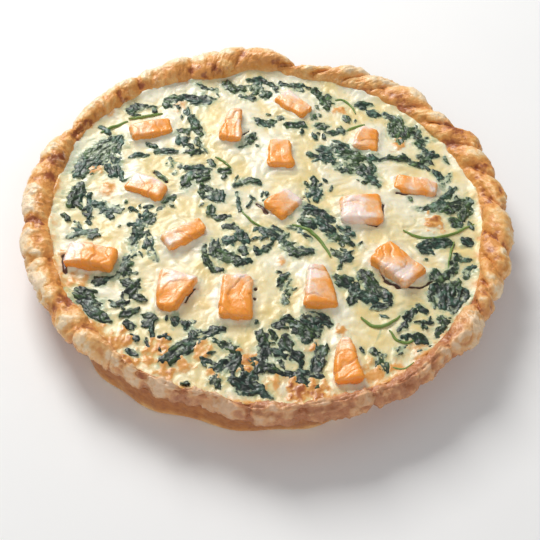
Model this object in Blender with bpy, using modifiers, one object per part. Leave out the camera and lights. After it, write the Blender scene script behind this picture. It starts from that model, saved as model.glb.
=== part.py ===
"""Salmon and spinach quiche: an open round pie, whole and out of its tin.

Metres, +Z up. The origin is the middle of the flat underside, +Y is the back of the pie
and +X its right. Angles are in degrees, anticlockwise from +X.

A pastry case with a hand-crimped rope edge holds a set custard. Sixteen chunks of salmon
stand in pockets of the custard, wilted spinach leaves lie on it, and the small spinach
shreds are fused to it.
"""
import math
import random

import bmesh
import bpy
from mathutils import Matrix, Vector, noise

MM = 0.001

# Driving dimensions of the pastry case
RIM_MIDDLE = (131.5 * MM, 25.5 * MM)
WALL_RADIUS = 123.5 * MM
FLOOR_RADIUS = 117.5 * MM
FLOOR_THICKNESS = 4.5 * MM
WALL_TOP = 26.5 * MM
CREASE_SLANT = 13 * MM
SLANT_MIDDLE = 45.0
SLANT_REACH = 80.0
HUMP_POWER = 0.6

# Section of the case at any angle, from the underside round the rim to the inner floor:
# radius and height in mm, share of the crimp, share of the rim's sway, and the sway it
# follows with the rest
SECTION = (
    (121.0, 0.0, 0.0, 0.0, "base"),
    (124.5, 2.5, 0.0, 0.0, "base"),
    (129.5, 17.0, 0.1, 0.4, "base"),
    (136.0, 19.0, 0.5, 0.8, "base"),
    (140.0, 24.0, 1.0, 1.0, "wall"),
    (139.0, 29.5, 1.0, 1.0, "wall"),
    (134.5, 33.0, 1.0, 0.8, "wall"),
    (129.0, 32.5, 1.0, 0.4, "wall"),
    (125.0, 29.5, 0.8, 0.0, "wall"),
    (123.5, 26.5, 0.0, 0.0, "wall"),
    (117.5, 4.5, 0.0, 0.0, "base"),
)

# The creases of the hand-crimped edge: angle at the inner side, depth in mm
CREASES = (
    (12.5, 3.2), (23.5, 4.0), (33.0, 3.6), (42.5, 3.4), (51.0, 3.4), (62.5, 3.8), (71.5, 3.8),
    (80.5, 3.6), (91.0, 3.4), (104.0, 1.6), (111.0, 1.2), (118.0, 1.6), (125.5, 1.0), (133.0, 2.0),
    (140.0, 1.4), (147.0, 1.2), (157.0, 3.0), (170.0, 1.8), (190.0, 3.6), (202.5, 2.4), (217.0, 1.4),
    (226.0, 1.8), (236.0, 1.6), (245.0, 1.4), (254.0, 2.4),
    (270.0, 3.0), (281.5, 1.6), (298.0, 2.8), (310.0, 2.2), (322.0, 3.0),
    (336.0, 2.4), (343.0, 2.6), (351.0, 2.8), (359.5, 2.6),
)
CRIMP_SEED = 7
LONG_CRIMP = 24 * MM

# Where the rim, the inner wall and the outer wall bulge or are pushed in, and where the rim
# is raised: angle, half width in degrees, amount in mm
RIM_SWAY = (
    (15, 7, 2.5), (32, 6, 5.5), (54, 7, 4.0), (84, 10, -9.5), (101, 5, 3.0), (156, 5, -3.5),
    (179, 8, 1.5), (212, 10, -1.5), (235, 6, -6.0), (246, 7, -6.5), (260, 8, -9.0), (275, 6, -1.5),
    (285, 8, -3.0), (299, 6, -2.0), (318, 8, -3.5), (338, 9, -2.5),
)
WALL_SWAY = (
    (15, 7, 2.5), (70, 10, -2.0), (84, 8, -4.0), (112, 8, -5.0), (138, 7, 1.5), (156, 8, 3.0),
    (212, 6, 1.5), (240, 7, 4.5), (250, 7, 4.5), (263, 7, 4.5), (280, 11, 5.2), (302, 10, 4.0),
    (320, 8, 1.2), (338, 5, 1.5), (355, 5, -1.5),
)
BASE_SWAY = (
    (84, 12, -4.0), (112, 8, -4.0), (156, 8, 2.0), (232, 7, 7.0), (246, 9, 8.0), (267, 10, 5.6),
    (284, 7, 4.0), (304, 9, -5.0), (320, 9, -4.0), (337, 9, -4.0),
)
RIM_LIFT = (
    (24, 9, 1.0), (100, 12, 1.2), (156, 6, -2.0), (215, 14, -1.5), (250, 16, -3.0), (300, 6, -1.0),
    (335, 8, 0.8),
)

# The custard
GAP = 0.3 * MM
CUSTARD_TOP = 24.9 * MM
CUSTARD_DOME = 0.8 * MM
CUSTARD_SWELL = 0.7 * MM
SWELL_PITCH = 21 * MM
CUSTARD_CELLS = 28

# Salmon chunks: x, y, length, width (mm), turn of the length, share of the width left at
# its far end, height above the custard (mm)
SALMON = (
    (-76, 59, 27, 13, 21, 0.95, 4.5),
    (-27, 68, 27, 16, 85, 0.50, 5.5),
    (9, 93, 25, 15, -40, 0.80, 4.0),
    (4, 49, 24, 17, 95, 0.80, 4.5),
    (56, 68, 21, 17, 80, 0.70, 3.5),
    (-72, 11, 24, 15, -22, 0.85, 4.0),
    (8, 8, 21, 17, 52, 0.85, 4.5),
    (53, 9, 25, 20, 8, 1.10, 5.0),
    (85, 32, 27, 13, -8, 0.90, 4.0),
    (-46, -22, 27, 13, 38, 0.85, 4.5),
    (-95, -45, 29, 17, -4, 0.90, 6.5),
    (-47, -63, 26, 12, 78, 1.90, 5.0),
    (-13, -63, 30, 19, 93, 0.90, 5.0),
    (31, -50, 30, 21, 98, 0.50, 5.0),
    (74, -30, 29, 20, -42, 1.00, 6.0),
    (48, -98, 28, 18, 98, 0.35, 6.5),
)
SALMON_DEPTH = 7.5 * MM
SALMON_BEVEL = 1.8 * MM
FOOT_SHARE = 0.82
POCKET_GROWTH = 0.5 * MM

# Spinach leaves: x, y, length, width (mm), turn, bow of the middle to the left (mm)
LEAVES = (
    (-102, 33, 36, 17, 49, 2), (-88, 77, 12, 7, 35, 0), (-65, 88, 16, 7, 15, 1), (-47, 92, 16, 10, 1, 0),
    (-30, 103, 9, 10, -25, 0), (-13, 104, 15, 9, 24, 0), (-49, 68, 24, 7, -70, 1), (-60, 49, 11, 8, -43, 0),
    (-110, 1, 13, 8, 65, 0), (-92, -8, 17, 8, -9, 0), (-45, 24, 20, 10, 57, 0), (-69, -26, 24, 6, -102, 0),
    (-101, -28, 16, 6, 10, 0), (-21, -26, 26, 15, 43, 0), (0, -14, 14, 7, -9, 0), (28, 99, 16, 7, -55, 0),
    (57, 93, 14, 7, -26, 0), (72, 82, 20, 9, -70, 0), (86, 79, 8, 8, -25, 0), (26, 73, 18, 6, 60, 0),
    (40, 44, 40, 13, -24, 5), (82, 50, 28, 6, 9, 0), (103, 40, 17, 8, -56, 0), (27, 25, 15, 8, 56, 0),
    (106, 20, 26, 10, 30, 0), (28, -2, 22, 7, -39, 3), (19, -20, 20, 6, -27, -4), (97, -11, 17, 8, 22, 0),
    (-80, -57, 20, 7, -135, 0), (-88, -76, 25, 10, -29, 3), (-64, -80, 12, 8, 22, 0), (-30, -96, 32, 8, 41, 3),
    (-2, -117, 16, 7, 25, 0), (57, -53, 26, 12, -29, 1), (103, -47, 20, 16, 13, 0), (87, -75, 16, 6, 23, 0),
    (30, -76, 18, 11, -54, 0), (21, -95, 22, 15, 22, 0), (68, -93, 10, 6, -50, 0), (79, -66, 14, 6, 55, 0),
)
LEAF_THICKNESS = 1.3 * MM
LEAF_CLEARANCE = 0.5 * MM
LEAF_RIPPLE = 0.8 * MM
LEAF_WAVE = 11 * MM

# Small shreds fused to the custard
SHREDS = 24
SHRED_SEED = 31
SHRED_SPREAD = 19 * MM
SHRED_SUNK = 1.2 * MM
SHRED_PROUD = 0.9 * MM
SHRED_CLEAR = 7 * MM
SHRED_TRIES = 4000

# Colour and roughness of each material
PASTRY = ((0.72, 0.38, 0.13, 1.0), 0.65)
SET_CUSTARD = ((0.86, 0.76, 0.48, 1.0), 0.45)
FISH = ((0.93, 0.42, 0.20, 1.0), 0.4)
SPINACH = ((0.04, 0.11, 0.05, 1.0), 0.35)


def sway(angle, bumps):
    """Sum of the round bumps at an angle in degrees, in metres."""
    total = 0.0
    for centre, half_width, amount in bumps:
        away = (angle - centre + 180) % 360 - 180
        total += amount * MM * math.exp(-(away / half_width) ** 2)
    return total


def polar(radius, angle, height):
    """Point at a radius, an angle in degrees and a height."""
    turn = math.radians(angle)
    return Vector((radius * math.cos(turn), radius * math.sin(turn), height))


def wall_radius(angle, height):
    """Inner radius of the pastry wall at an angle and a height."""
    share = (height - FLOOR_THICKNESS) / (WALL_TOP - FLOOR_THICKNESS)
    low = FLOOR_RADIUS + sway(angle, BASE_SWAY)
    high = WALL_RADIUS + sway(angle, WALL_SWAY)
    return low + (high - low) * share


def crimps():
    """Every crimp of the edge: its two angles, the depths of its two creases, swelling and lift."""
    draw = random.Random(CRIMP_SEED)
    closed = CREASES + ((CREASES[0][0] + 360, CREASES[0][1]),)
    rows = []
    for (start, deep), (end, deep_after) in zip(closed, closed[1:]):
        swelling = draw.uniform(-0.9, 1.1) * MM
        lift = draw.uniform(-0.8, 0.9) * MM
        rows.append((start, end, deep * MM, deep_after * MM, swelling, lift))
    return rows


def crimp_stations(row):
    """Places across one crimp, as shares of its width, closer together at its creases."""
    arc = math.radians(row[1] - row[0]) * RIM_MIDDLE[0]
    if arc > LONG_CRIMP:
        return (0.0, 0.08, 0.25, 0.5, 0.75, 0.92)
    return (0.0, 0.17, 0.5, 0.83)


def stations():
    """Every station round the edge: its angle, the share across its crimp, and the crimp."""
    found = []
    for row in crimps():
        for share in crimp_stations(row):
            found.append((row[0] + (row[1] - row[0]) * share, share, row))
    return found


def slant(angle):
    """Degrees by which a crease leans from the inner side to the outer: only on the right."""
    away = (angle - SLANT_MIDDLE + 180) % 360 - 180
    return math.degrees(CREASE_SLANT / RIM_MIDDLE[0]) * math.exp(-(away / SLANT_REACH) ** 4)


def pastry_section(angle, share, row):
    """Points of the case's section where a crimp is `share` of the way across."""
    _, _, deep, deep_after, swelling, lift = row
    hump = math.sin(math.pi * share) ** HUMP_POWER
    out = (deep + (deep_after - deep) * share) * (hump - 1.0) + swelling * hump
    points = []
    for radius, height, part, rim_share, side in SECTION:
        turned = angle - slant(angle) * rim_share
        rest = sway(turned, WALL_SWAY if side == "wall" else BASE_SWAY)
        offset = rim_share * sway(turned, RIM_SWAY) + (1 - rim_share) * rest
        away = Vector((radius * MM - RIM_MIDDLE[0], height * MM - RIM_MIDDLE[1])).normalized()
        r = radius * MM + offset + away.x * out * part
        z = height * MM + (away.y * out + lift * hump + sway(turned, RIM_LIFT)) * part
        points.append(polar(r, turned, z))
    return points


def loft(sections, name, rising=False):
    """Closed mesh through a ring of sections, capped by their first and last points.

    Sections that rise get the same diagonals as those that fall, so that the custard's side
    and the wall round it stay parallel.
    """
    bm = bmesh.new()
    rings = [[bm.verts.new(point) for point in section] for section in sections]
    for one, two in zip(rings, rings[1:] + rings[:1]):
        for k in range(len(one) - 1):
            if rising:
                bm.faces.new((one[k], two[k], one[k + 1]))
                bm.faces.new((two[k], two[k + 1], one[k + 1]))
            else:
                bm.faces.new((one[k], two[k], two[k + 1]))
                bm.faces.new((one[k], two[k + 1], one[k + 1]))
    bm.faces.new([ring[0] for ring in reversed(rings)])
    bm.faces.new([ring[-1] for ring in rings])
    mesh = bpy.data.meshes.new(name)
    bm.normal_update()
    bm.to_mesh(mesh)
    bm.free()
    return mesh


def custard_height(x, y):
    """Height of the custard's surface before anything is set in it."""
    radius = min(1.0, math.hypot(x, y) / WALL_RADIUS)
    swell = noise.noise(Vector((x / SWELL_PITCH, y / SWELL_PITCH, 4.2)))
    return CUSTARD_TOP + CUSTARD_DOME * (1 - radius ** 2) + CUSTARD_SWELL * swell


def material(name, look):
    """Principled material of one colour and roughness."""
    colour, roughness = look
    made = bpy.data.materials.new(name)
    made.use_nodes = True
    shader = made.node_tree.nodes["Principled BSDF"]
    shader.inputs["Base Color"].default_value = colour
    shader.inputs["Roughness"].default_value = roughness
    shader.inputs["Metallic"].default_value = 0.0
    return made


def add(name, mesh, look, collection):
    """Object of a mesh, in a collection, with its material."""
    piece = bpy.data.objects.new(name, mesh)
    collection.objects.link(piece)
    if look:
        mesh.materials.append(look)
    return piece


def crust(look, collection):
    """Pastry case: flat base, sloping wall and crimped rope edge in one solid."""
    sections = [pastry_section(*station) for station in stations()]
    piece = add("crust", loft(sections, "crust"), look, collection)
    piece.data.shade_smooth()
    piece.data.set_sharp_from_angle(angle=math.radians(45))
    return piece


def chunk_mesh(number, grow=0.0):
    """Salmon chunk lying along X: tapered, a little bowed, its edges broken."""
    _, _, length, width, _, taper, proud = SALMON[number]
    draw = random.Random(100 + number)
    half_length = length / 2 * MM + grow
    half_width = width / 2 * MM + grow
    low = -SALMON_DEPTH - grow
    high = proud * MM + grow
    bm = bmesh.new()
    bmesh.ops.create_cube(bm, size=2.0)
    along = [edge for edge in bm.edges if abs(edge.verts[0].co.x - edge.verts[1].co.x) > 1]
    bmesh.ops.subdivide_edges(bm, edges=along, cuts=1, use_grid_fill=True)
    bow = draw.uniform(-0.12, 0.12) * half_width
    tilt = draw.uniform(-0.16, 0.16) * half_width
    crown = draw.uniform(0.0, 1.1) * MM
    for vert in bm.verts:
        x, y, z = vert.co
        drawn_in = 1.0 if z > 0 else FOOT_SHARE
        narrow = 1.0 + (taper - 1.0) * (x + 1) / 2
        vert.co.x = x * half_length * drawn_in + draw.uniform(-0.6, 0.6) * MM
        vert.co.y = y * half_width * narrow * drawn_in + bow * (1 - x * x) + draw.uniform(-0.5, 0.5) * MM
        rise = high + crown * (1 - abs(x)) + tilt * y + draw.uniform(-0.4, 0.4) * MM
        vert.co.z = rise if z > 0 else low
    bmesh.ops.bevel(bm, geom=bm.edges[:], offset=SALMON_BEVEL, segments=1, affect="EDGES",
                    clamp_overlap=True)
    mesh = bpy.data.meshes.new("salmon")
    bm.to_mesh(mesh)
    bm.free()
    return mesh


def place_chunk(piece, number):
    """Stands a chunk in the custard at its place and turn."""
    x, y, _, _, turn, _, _ = SALMON[number]
    piece.location = (x * MM, y * MM, custard_height(x * MM, y * MM))
    piece.rotation_euler = (0, 0, math.radians(turn))


def inside_chunk(x, y, margin):
    """Whether a point in plan is within a margin of any chunk."""
    for cx, cy, length, width, turn, taper, _ in SALMON:
        away = Vector((x - cx * MM, y - cy * MM))
        along = away.x * math.cos(math.radians(turn)) + away.y * math.sin(math.radians(turn))
        across = away.y * math.cos(math.radians(turn)) - away.x * math.sin(math.radians(turn))
        half = width / 2 * MM * max(1.0, taper) + margin
        if abs(along) < length / 2 * MM + margin and abs(across) < half:
            return True
    return False


def leaf_outline(along, wobble):
    """Half width of a leaf at -1 to 1 along it, as a share of the widest."""
    belly = max(0.0, 1 - abs(along) ** 2.4) ** 0.6
    return (0.22 + 0.78 * belly) * (1 + 0.22 * wobble)


def leaf_mesh(row, seed):
    """Wilted leaf: a wavy sheet that follows the custard, with a fold down its middle."""
    x0, y0, length, width, turn, bow = row
    draw = random.Random(seed)
    steps = 5 if length * width > 220 else 4
    across = (-1.0, 0.0, 1.0) if width < 11 else (-1.0, -0.35, 0.35, 1.0)
    heading = Matrix.Rotation(math.radians(turn), 2)
    middle = Vector((x0 * MM, y0 * MM))
    bm = bmesh.new()
    rows = []
    for i in range(steps + 1):
        u = 2 * i / steps - 1
        edges = (draw.uniform(-1, 1), draw.uniform(-1, 1))
        line = []
        for v in across:
            half = width / 2 * MM * leaf_outline(u * 0.96, edges[0] if v < 0 else edges[1])
            local = Vector((u * length / 2 * MM, v * half + bow * MM * (1 - u * u)))
            x, y = heading @ local + middle
            wave = 0.5 + 0.5 * math.sin(math.pi * u * length * MM / LEAF_WAVE + seed)
            ripple = LEAF_RIPPLE * wave * (0.6 + 0.4 * abs(v))
            z = custard_height(x, y) + LEAF_CLEARANCE + ripple
            line.append(bm.verts.new((x, y, z)))
        rows.append(line)
    for one, two in zip(rows, rows[1:]):
        for k in range(len(one) - 1):
            bm.faces.new((one[k], two[k], two[k + 1], one[k + 1]))
    bmesh.ops.triangulate(bm, faces=bm.faces[:])
    mesh = bpy.data.meshes.new("leaf")
    bm.normal_update()
    bm.to_mesh(mesh)
    bm.free()
    return mesh


def shred_mesh(x, y, seed):
    """Short bent strip of spinach, half sunk in the custard."""
    draw = random.Random(seed)
    length = draw.uniform(6, 10) * MM
    width = draw.uniform(2.0, 3.2) * MM
    turn = draw.uniform(0, math.pi)
    bend = draw.uniform(-1.5, 1.5) * MM
    bm = bmesh.new()
    rings = []
    for share in (-0.5, 0.0, 0.5):
        half = width / 2 * (1.0 if share == 0 else 0.6)
        ring = []
        corners = ((-1.0, -SHRED_SUNK), (1.0, -SHRED_SUNK), (0.8, SHRED_PROUD), (-0.8, SHRED_PROUD))
        for side, level in corners:
            px = share * length
            py = side * half + bend * (1 - 4 * share * share)
            wx = x + px * math.cos(turn) - py * math.sin(turn)
            wy = y + px * math.sin(turn) + py * math.cos(turn)
            ring.append(bm.verts.new((wx, wy, custard_height(wx, wy) + level)))
        rings.append(ring)
    for one, two in zip(rings, rings[1:]):
        for k in range(4):
            bm.faces.new((one[k], one[(k + 1) % 4], two[(k + 1) % 4], two[k]))
    bm.faces.new(list(reversed(rings[0])))
    bm.faces.new(rings[-1])
    bmesh.ops.recalc_face_normals(bm, faces=bm.faces[:])
    mesh = bpy.data.meshes.new("shred")
    bm.to_mesh(mesh)
    bm.free()
    return mesh


def shred_places():
    """Places for the shreds: spread evenly, clear of chunks, leaves and the wall."""
    draw = random.Random(SHRED_SEED)
    places = []
    for _ in range(SHRED_TRIES):
        angle = draw.uniform(0, 2 * math.pi)
        radius = (WALL_RADIUS - 17 * MM) * math.sqrt(draw.random())
        x, y = radius * math.cos(angle), radius * math.sin(angle)
        near_leaf = any(math.hypot(x - row[0] * MM, y - row[1] * MM) < row[2] / 2 * MM + SHRED_CLEAR
                        for row in LEAVES)
        near_shred = any(math.hypot(x - px, y - py) < SHRED_SPREAD for px, py in places)
        if not (near_leaf or near_shred or inside_chunk(x, y, SHRED_CLEAR)):
            places.append((x, y))
        if len(places) == SHREDS:
            break
    return places


def boolean(piece, operation, other):
    """Applies one boolean of a piece with an object or a collection."""
    cut = piece.modifiers.new(operation.lower(), "BOOLEAN")
    cut.operation = operation
    cut.solver = "EXACT"
    if isinstance(other, bpy.types.Collection):
        cut.operand_type = "COLLECTION"
        cut.collection = other
    else:
        cut.object = other
    graph = bpy.context.evaluated_depsgraph_get()
    mesh = bpy.data.meshes.new_from_object(piece.evaluated_get(graph))
    piece.modifiers.clear()
    piece.data = mesh


def custard(look, collection, cutters):
    """Set custard: fills the case, its swelling top cut by a pocket for each chunk."""
    size = WALL_RADIUS * 2.12
    bm = bmesh.new()
    bmesh.ops.create_grid(bm, x_segments=CUSTARD_CELLS, y_segments=CUSTARD_CELLS, size=size / 2)
    for vert in bm.verts:
        vert.co.z = custard_height(vert.co.x, vert.co.y)
    bmesh.ops.triangulate(bm, faces=bm.faces[:])
    rim_edges = [edge for edge in bm.edges if edge.is_boundary]
    skirt = bmesh.ops.extrude_edge_only(bm, edges=rim_edges)["geom"]
    for vert in (item for item in skirt if isinstance(item, bmesh.types.BMVert)):
        vert.co.z = 0.0
    bmesh.ops.contextual_create(bm, geom=[edge for edge in bm.edges if edge.is_boundary])
    bmesh.ops.recalc_face_normals(bm, faces=bm.faces[:])
    mesh = bpy.data.meshes.new("custard")
    bm.to_mesh(mesh)
    bm.free()
    piece = add("custard", mesh, look, collection)

    levels = (FLOOR_THICKNESS + GAP, WALL_TOP, WALL_TOP + 10 * MM)
    sections = []
    for angle, _, _ in stations():
        sections.append([polar(wall_radius(angle, z) - GAP, angle, z) for z in levels])
    inside = add("inside_of_case", loft(sections, "inside_of_case", rising=True), None, cutters)
    boolean(piece, "INTERSECT", inside)

    for number in range(len(SALMON)):
        pocket = add(f"pocket_{number + 1:02d}", chunk_mesh(number, POCKET_GROWTH), None, cutters)
        place_chunk(pocket, number)
        bpy.context.view_layer.update()
        boolean(piece, "DIFFERENCE", pocket)

    shreds = bpy.data.collections.new("shreds")
    bpy.context.scene.collection.children.link(shreds)
    for k, (x, y) in enumerate(shred_places()):
        add(f"shred_{k + 1:02d}", shred_mesh(x, y, 500 + k), None, shreds)
    bpy.context.view_layer.update()
    boolean(piece, "UNION", shreds)
    for shred in list(shreds.objects):
        bpy.data.objects.remove(shred)
    bpy.data.collections.remove(shreds)

    for cutter in cutters.objects:
        cutter.hide_render = True
        cutter.display_type = "WIRE"
    return piece


def salmon(look, collection):
    """The sixteen chunks, each in its pocket."""
    for number in range(len(SALMON)):
        piece = add(f"salmon_{number + 1:02d}", chunk_mesh(number), look, collection)
        place_chunk(piece, number)


def spinach(look, collection):
    """The leaves, each a thin wavy solid just above the custard."""
    for number, row in enumerate(LEAVES):
        piece = add(f"leaf_{number + 1:02d}", leaf_mesh(row, 900 + number), look, collection)
        shell = piece.modifiers.new("thickness", "SOLIDIFY")
        shell.thickness = LEAF_THICKNESS
        shell.offset = 1.0


def main():
    for old in list(bpy.data.objects):
        bpy.data.objects.remove(old)
    quiche = bpy.data.collections.new("quiche")
    cutters = bpy.data.collections.new("cutters")
    bpy.context.scene.collection.children.link(quiche)
    bpy.context.scene.collection.children.link(cutters)
    crust(material("pastry", PASTRY), quiche)
    custard(material("custard", SET_CUSTARD), quiche, cutters)
    salmon(material("salmon", FISH), quiche)
    spinach(material("spinach", SPINACH), quiche)


main()
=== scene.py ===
"""Looks of the salmon and spinach quiche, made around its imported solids.

Metres, +Z up, +Y the back of the pie, +X its right; angles in degrees, anticlockwise from +X.
The pastry case, the custard, every salmon chunk and every spinach leaf is a fine mesh that
replaces its plain solid, worked out from the same named sizes. Masks that steer the colours
are stored on the meshes, and the materials add the finer detail by nodes.
"""
import math
import random

import bmesh
import bpy
import numpy as np
from mathutils import Matrix, Vector, noise


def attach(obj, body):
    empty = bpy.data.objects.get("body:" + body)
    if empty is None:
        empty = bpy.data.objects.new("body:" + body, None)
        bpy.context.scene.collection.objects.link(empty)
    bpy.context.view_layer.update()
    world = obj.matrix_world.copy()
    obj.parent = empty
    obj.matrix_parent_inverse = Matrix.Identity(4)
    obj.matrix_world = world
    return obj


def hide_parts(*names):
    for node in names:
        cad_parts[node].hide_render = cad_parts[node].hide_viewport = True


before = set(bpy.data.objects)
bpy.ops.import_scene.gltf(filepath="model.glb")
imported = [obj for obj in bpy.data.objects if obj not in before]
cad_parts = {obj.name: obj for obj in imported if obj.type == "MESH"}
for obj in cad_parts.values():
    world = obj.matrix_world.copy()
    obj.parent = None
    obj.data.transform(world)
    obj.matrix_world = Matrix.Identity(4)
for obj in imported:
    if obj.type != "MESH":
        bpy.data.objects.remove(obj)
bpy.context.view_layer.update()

MM = 0.001
BODY = "root"
FAR = 99.0

# Driving dimensions of the pastry case, as in the solids
RIM_MIDDLE = (131.5, 25.5)
WALL_RADIUS = 123.5
FLOOR_RADIUS = 117.5
FLOOR_THICKNESS = 4.5
WALL_TOP = 26.5
CREASE_SLANT = 13.0
SLANT_MIDDLE = 45.0
SLANT_REACH = 80.0
HUMP_POWER = 0.6

# Section of the case: radius, height, share of the crimps, share of the rim's sway, and the sway below it
SECTION = (
    (121.0, 0.0, 0.0, 0.0, "base"), (124.5, 2.5, 0.0, 0.0, "base"), (129.5, 17.0, 0.1, 0.4, "base"),
    (136.0, 19.0, 0.5, 0.8, "base"), (140.0, 24.0, 1.0, 1.0, "wall"), (139.0, 29.5, 1.0, 1.0, "wall"),
    (134.5, 33.0, 1.0, 0.8, "wall"), (129.0, 32.5, 1.0, 0.4, "wall"), (125.0, 29.5, 0.8, 0.0, "wall"),
    (WALL_RADIUS, WALL_TOP, 0.0, 0.0, "wall"), (FLOOR_RADIUS, FLOOR_THICKNESS, 0.0, 0.0, "base"),
)

# Creases between the crimps: angle, depth in mm
CREASES = (
    (12.5, 3.2), (23.5, 4.0), (33.0, 3.6), (42.5, 3.4), (51.0, 3.4), (62.5, 3.8), (71.5, 3.8),
    (80.5, 3.6), (91.0, 3.4), (104.0, 1.6), (111.0, 1.2), (118.0, 1.6), (125.5, 1.0), (133.0, 2.0),
    (140.0, 1.4), (147.0, 1.2), (157.0, 3.0), (170.0, 1.8), (190.0, 3.6), (202.5, 2.4), (217.0, 1.4),
    (226.0, 1.8), (236.0, 1.6), (245.0, 1.4), (254.0, 2.4), (270.0, 3.0), (281.5, 1.6), (298.0, 2.8),
    (310.0, 2.2), (322.0, 3.0), (336.0, 2.4), (343.0, 2.6), (351.0, 2.8), (359.5, 2.6),
)
CRIMP_SEED = 7

# Round bumps of the rim, the wall and the foot: angle, half width, amount in mm
RIM_SWAY = (
    (15, 7, 2.5), (32, 6, 5.5), (54, 7, 4.0), (84, 10, -9.5), (101, 5, 3.0), (156, 5, -3.5),
    (179, 8, 1.5), (212, 10, -1.5), (235, 6, -6.0), (246, 7, -6.5), (260, 8, -9.0), (275, 6, -1.5),
    (285, 8, -3.0), (299, 6, -2.0), (318, 8, -3.5), (338, 9, -2.5),
)
WALL_SWAY = (
    (15, 7, 2.5), (70, 10, -2.0), (84, 8, -4.0), (112, 8, -5.0), (138, 7, 1.5), (156, 8, 3.0),
    (212, 6, 1.5), (240, 7, 4.5), (250, 7, 4.5), (263, 7, 4.5), (280, 11, 5.2), (302, 10, 4.0),
    (320, 8, 1.2), (338, 5, 1.5), (355, 5, -1.5),
)
BASE_SWAY = (
    (84, 12, -4.0), (112, 8, -4.0), (156, 8, 2.0), (232, 7, 7.0), (246, 9, 8.0), (267, 10, 5.6),
    (284, 7, 4.0), (304, 9, -5.0), (320, 9, -4.0), (337, 9, -4.0),
)
RIM_LIFT = (
    (24, 9, 1.0), (100, 12, 1.2), (156, 6, -2.0), (215, 14, -1.5), (250, 16, -3.0), (300, 6, -1.0),
    (335, 8, 0.8),
)

# The plain custard surface
CUSTARD_TOP = 24.9
CUSTARD_DOME = 0.8
CUSTARD_SWELL = 0.7
SWELL_PITCH = 21.0
SWELL_SLICE = 4.2

# Salmon chunks: x, y, length, width, turn, far width share, then for the looks how orange
# the flesh shows (0 to 1), the way in which it gets more orange, and the lie of its flakes
SALMON = (
    (-76, 59, 27, 13, 21, 0.95, 0.85, 0, 75), (-27, 68, 27, 16, 85, 0.50, 0.62, 200, 10),
    (9, 93, 25, 15, -40, 0.80, 0.45, 250, 40), (4, 49, 24, 17, 95, 0.80, 0.80, 270, 15),
    (56, 68, 21, 17, 80, 0.70, 0.55, 0, 80), (-72, 11, 24, 15, -22, 0.85, 0.45, 280, 60),
    (8, 8, 21, 17, 52, 0.85, 0.50, 190, 70), (53, 9, 25, 20, 8, 1.10, 0.32, 60, 20),
    (85, 32, 27, 13, -8, 0.90, 0.55, 170, 70), (-46, -22, 27, 13, 38, 0.85, 0.62, 350, 30),
    (-95, -45, 29, 17, -4, 0.90, 0.62, 320, 80), (-47, -63, 26, 12, 78, 1.90, 0.72, 270, 30),
    (-13, -63, 30, 19, 93, 0.90, 0.80, 270, 4), (31, -50, 30, 21, 98, 0.50, 0.40, 330, 100),
    (74, -30, 29, 20, -42, 1.00, 0.55, 90, 60), (48, -98, 28, 18, 98, 0.35, 0.95, 300, 80),
)

# Rounding of a chunk's corners in plan
CORNER = 1.5

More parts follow.
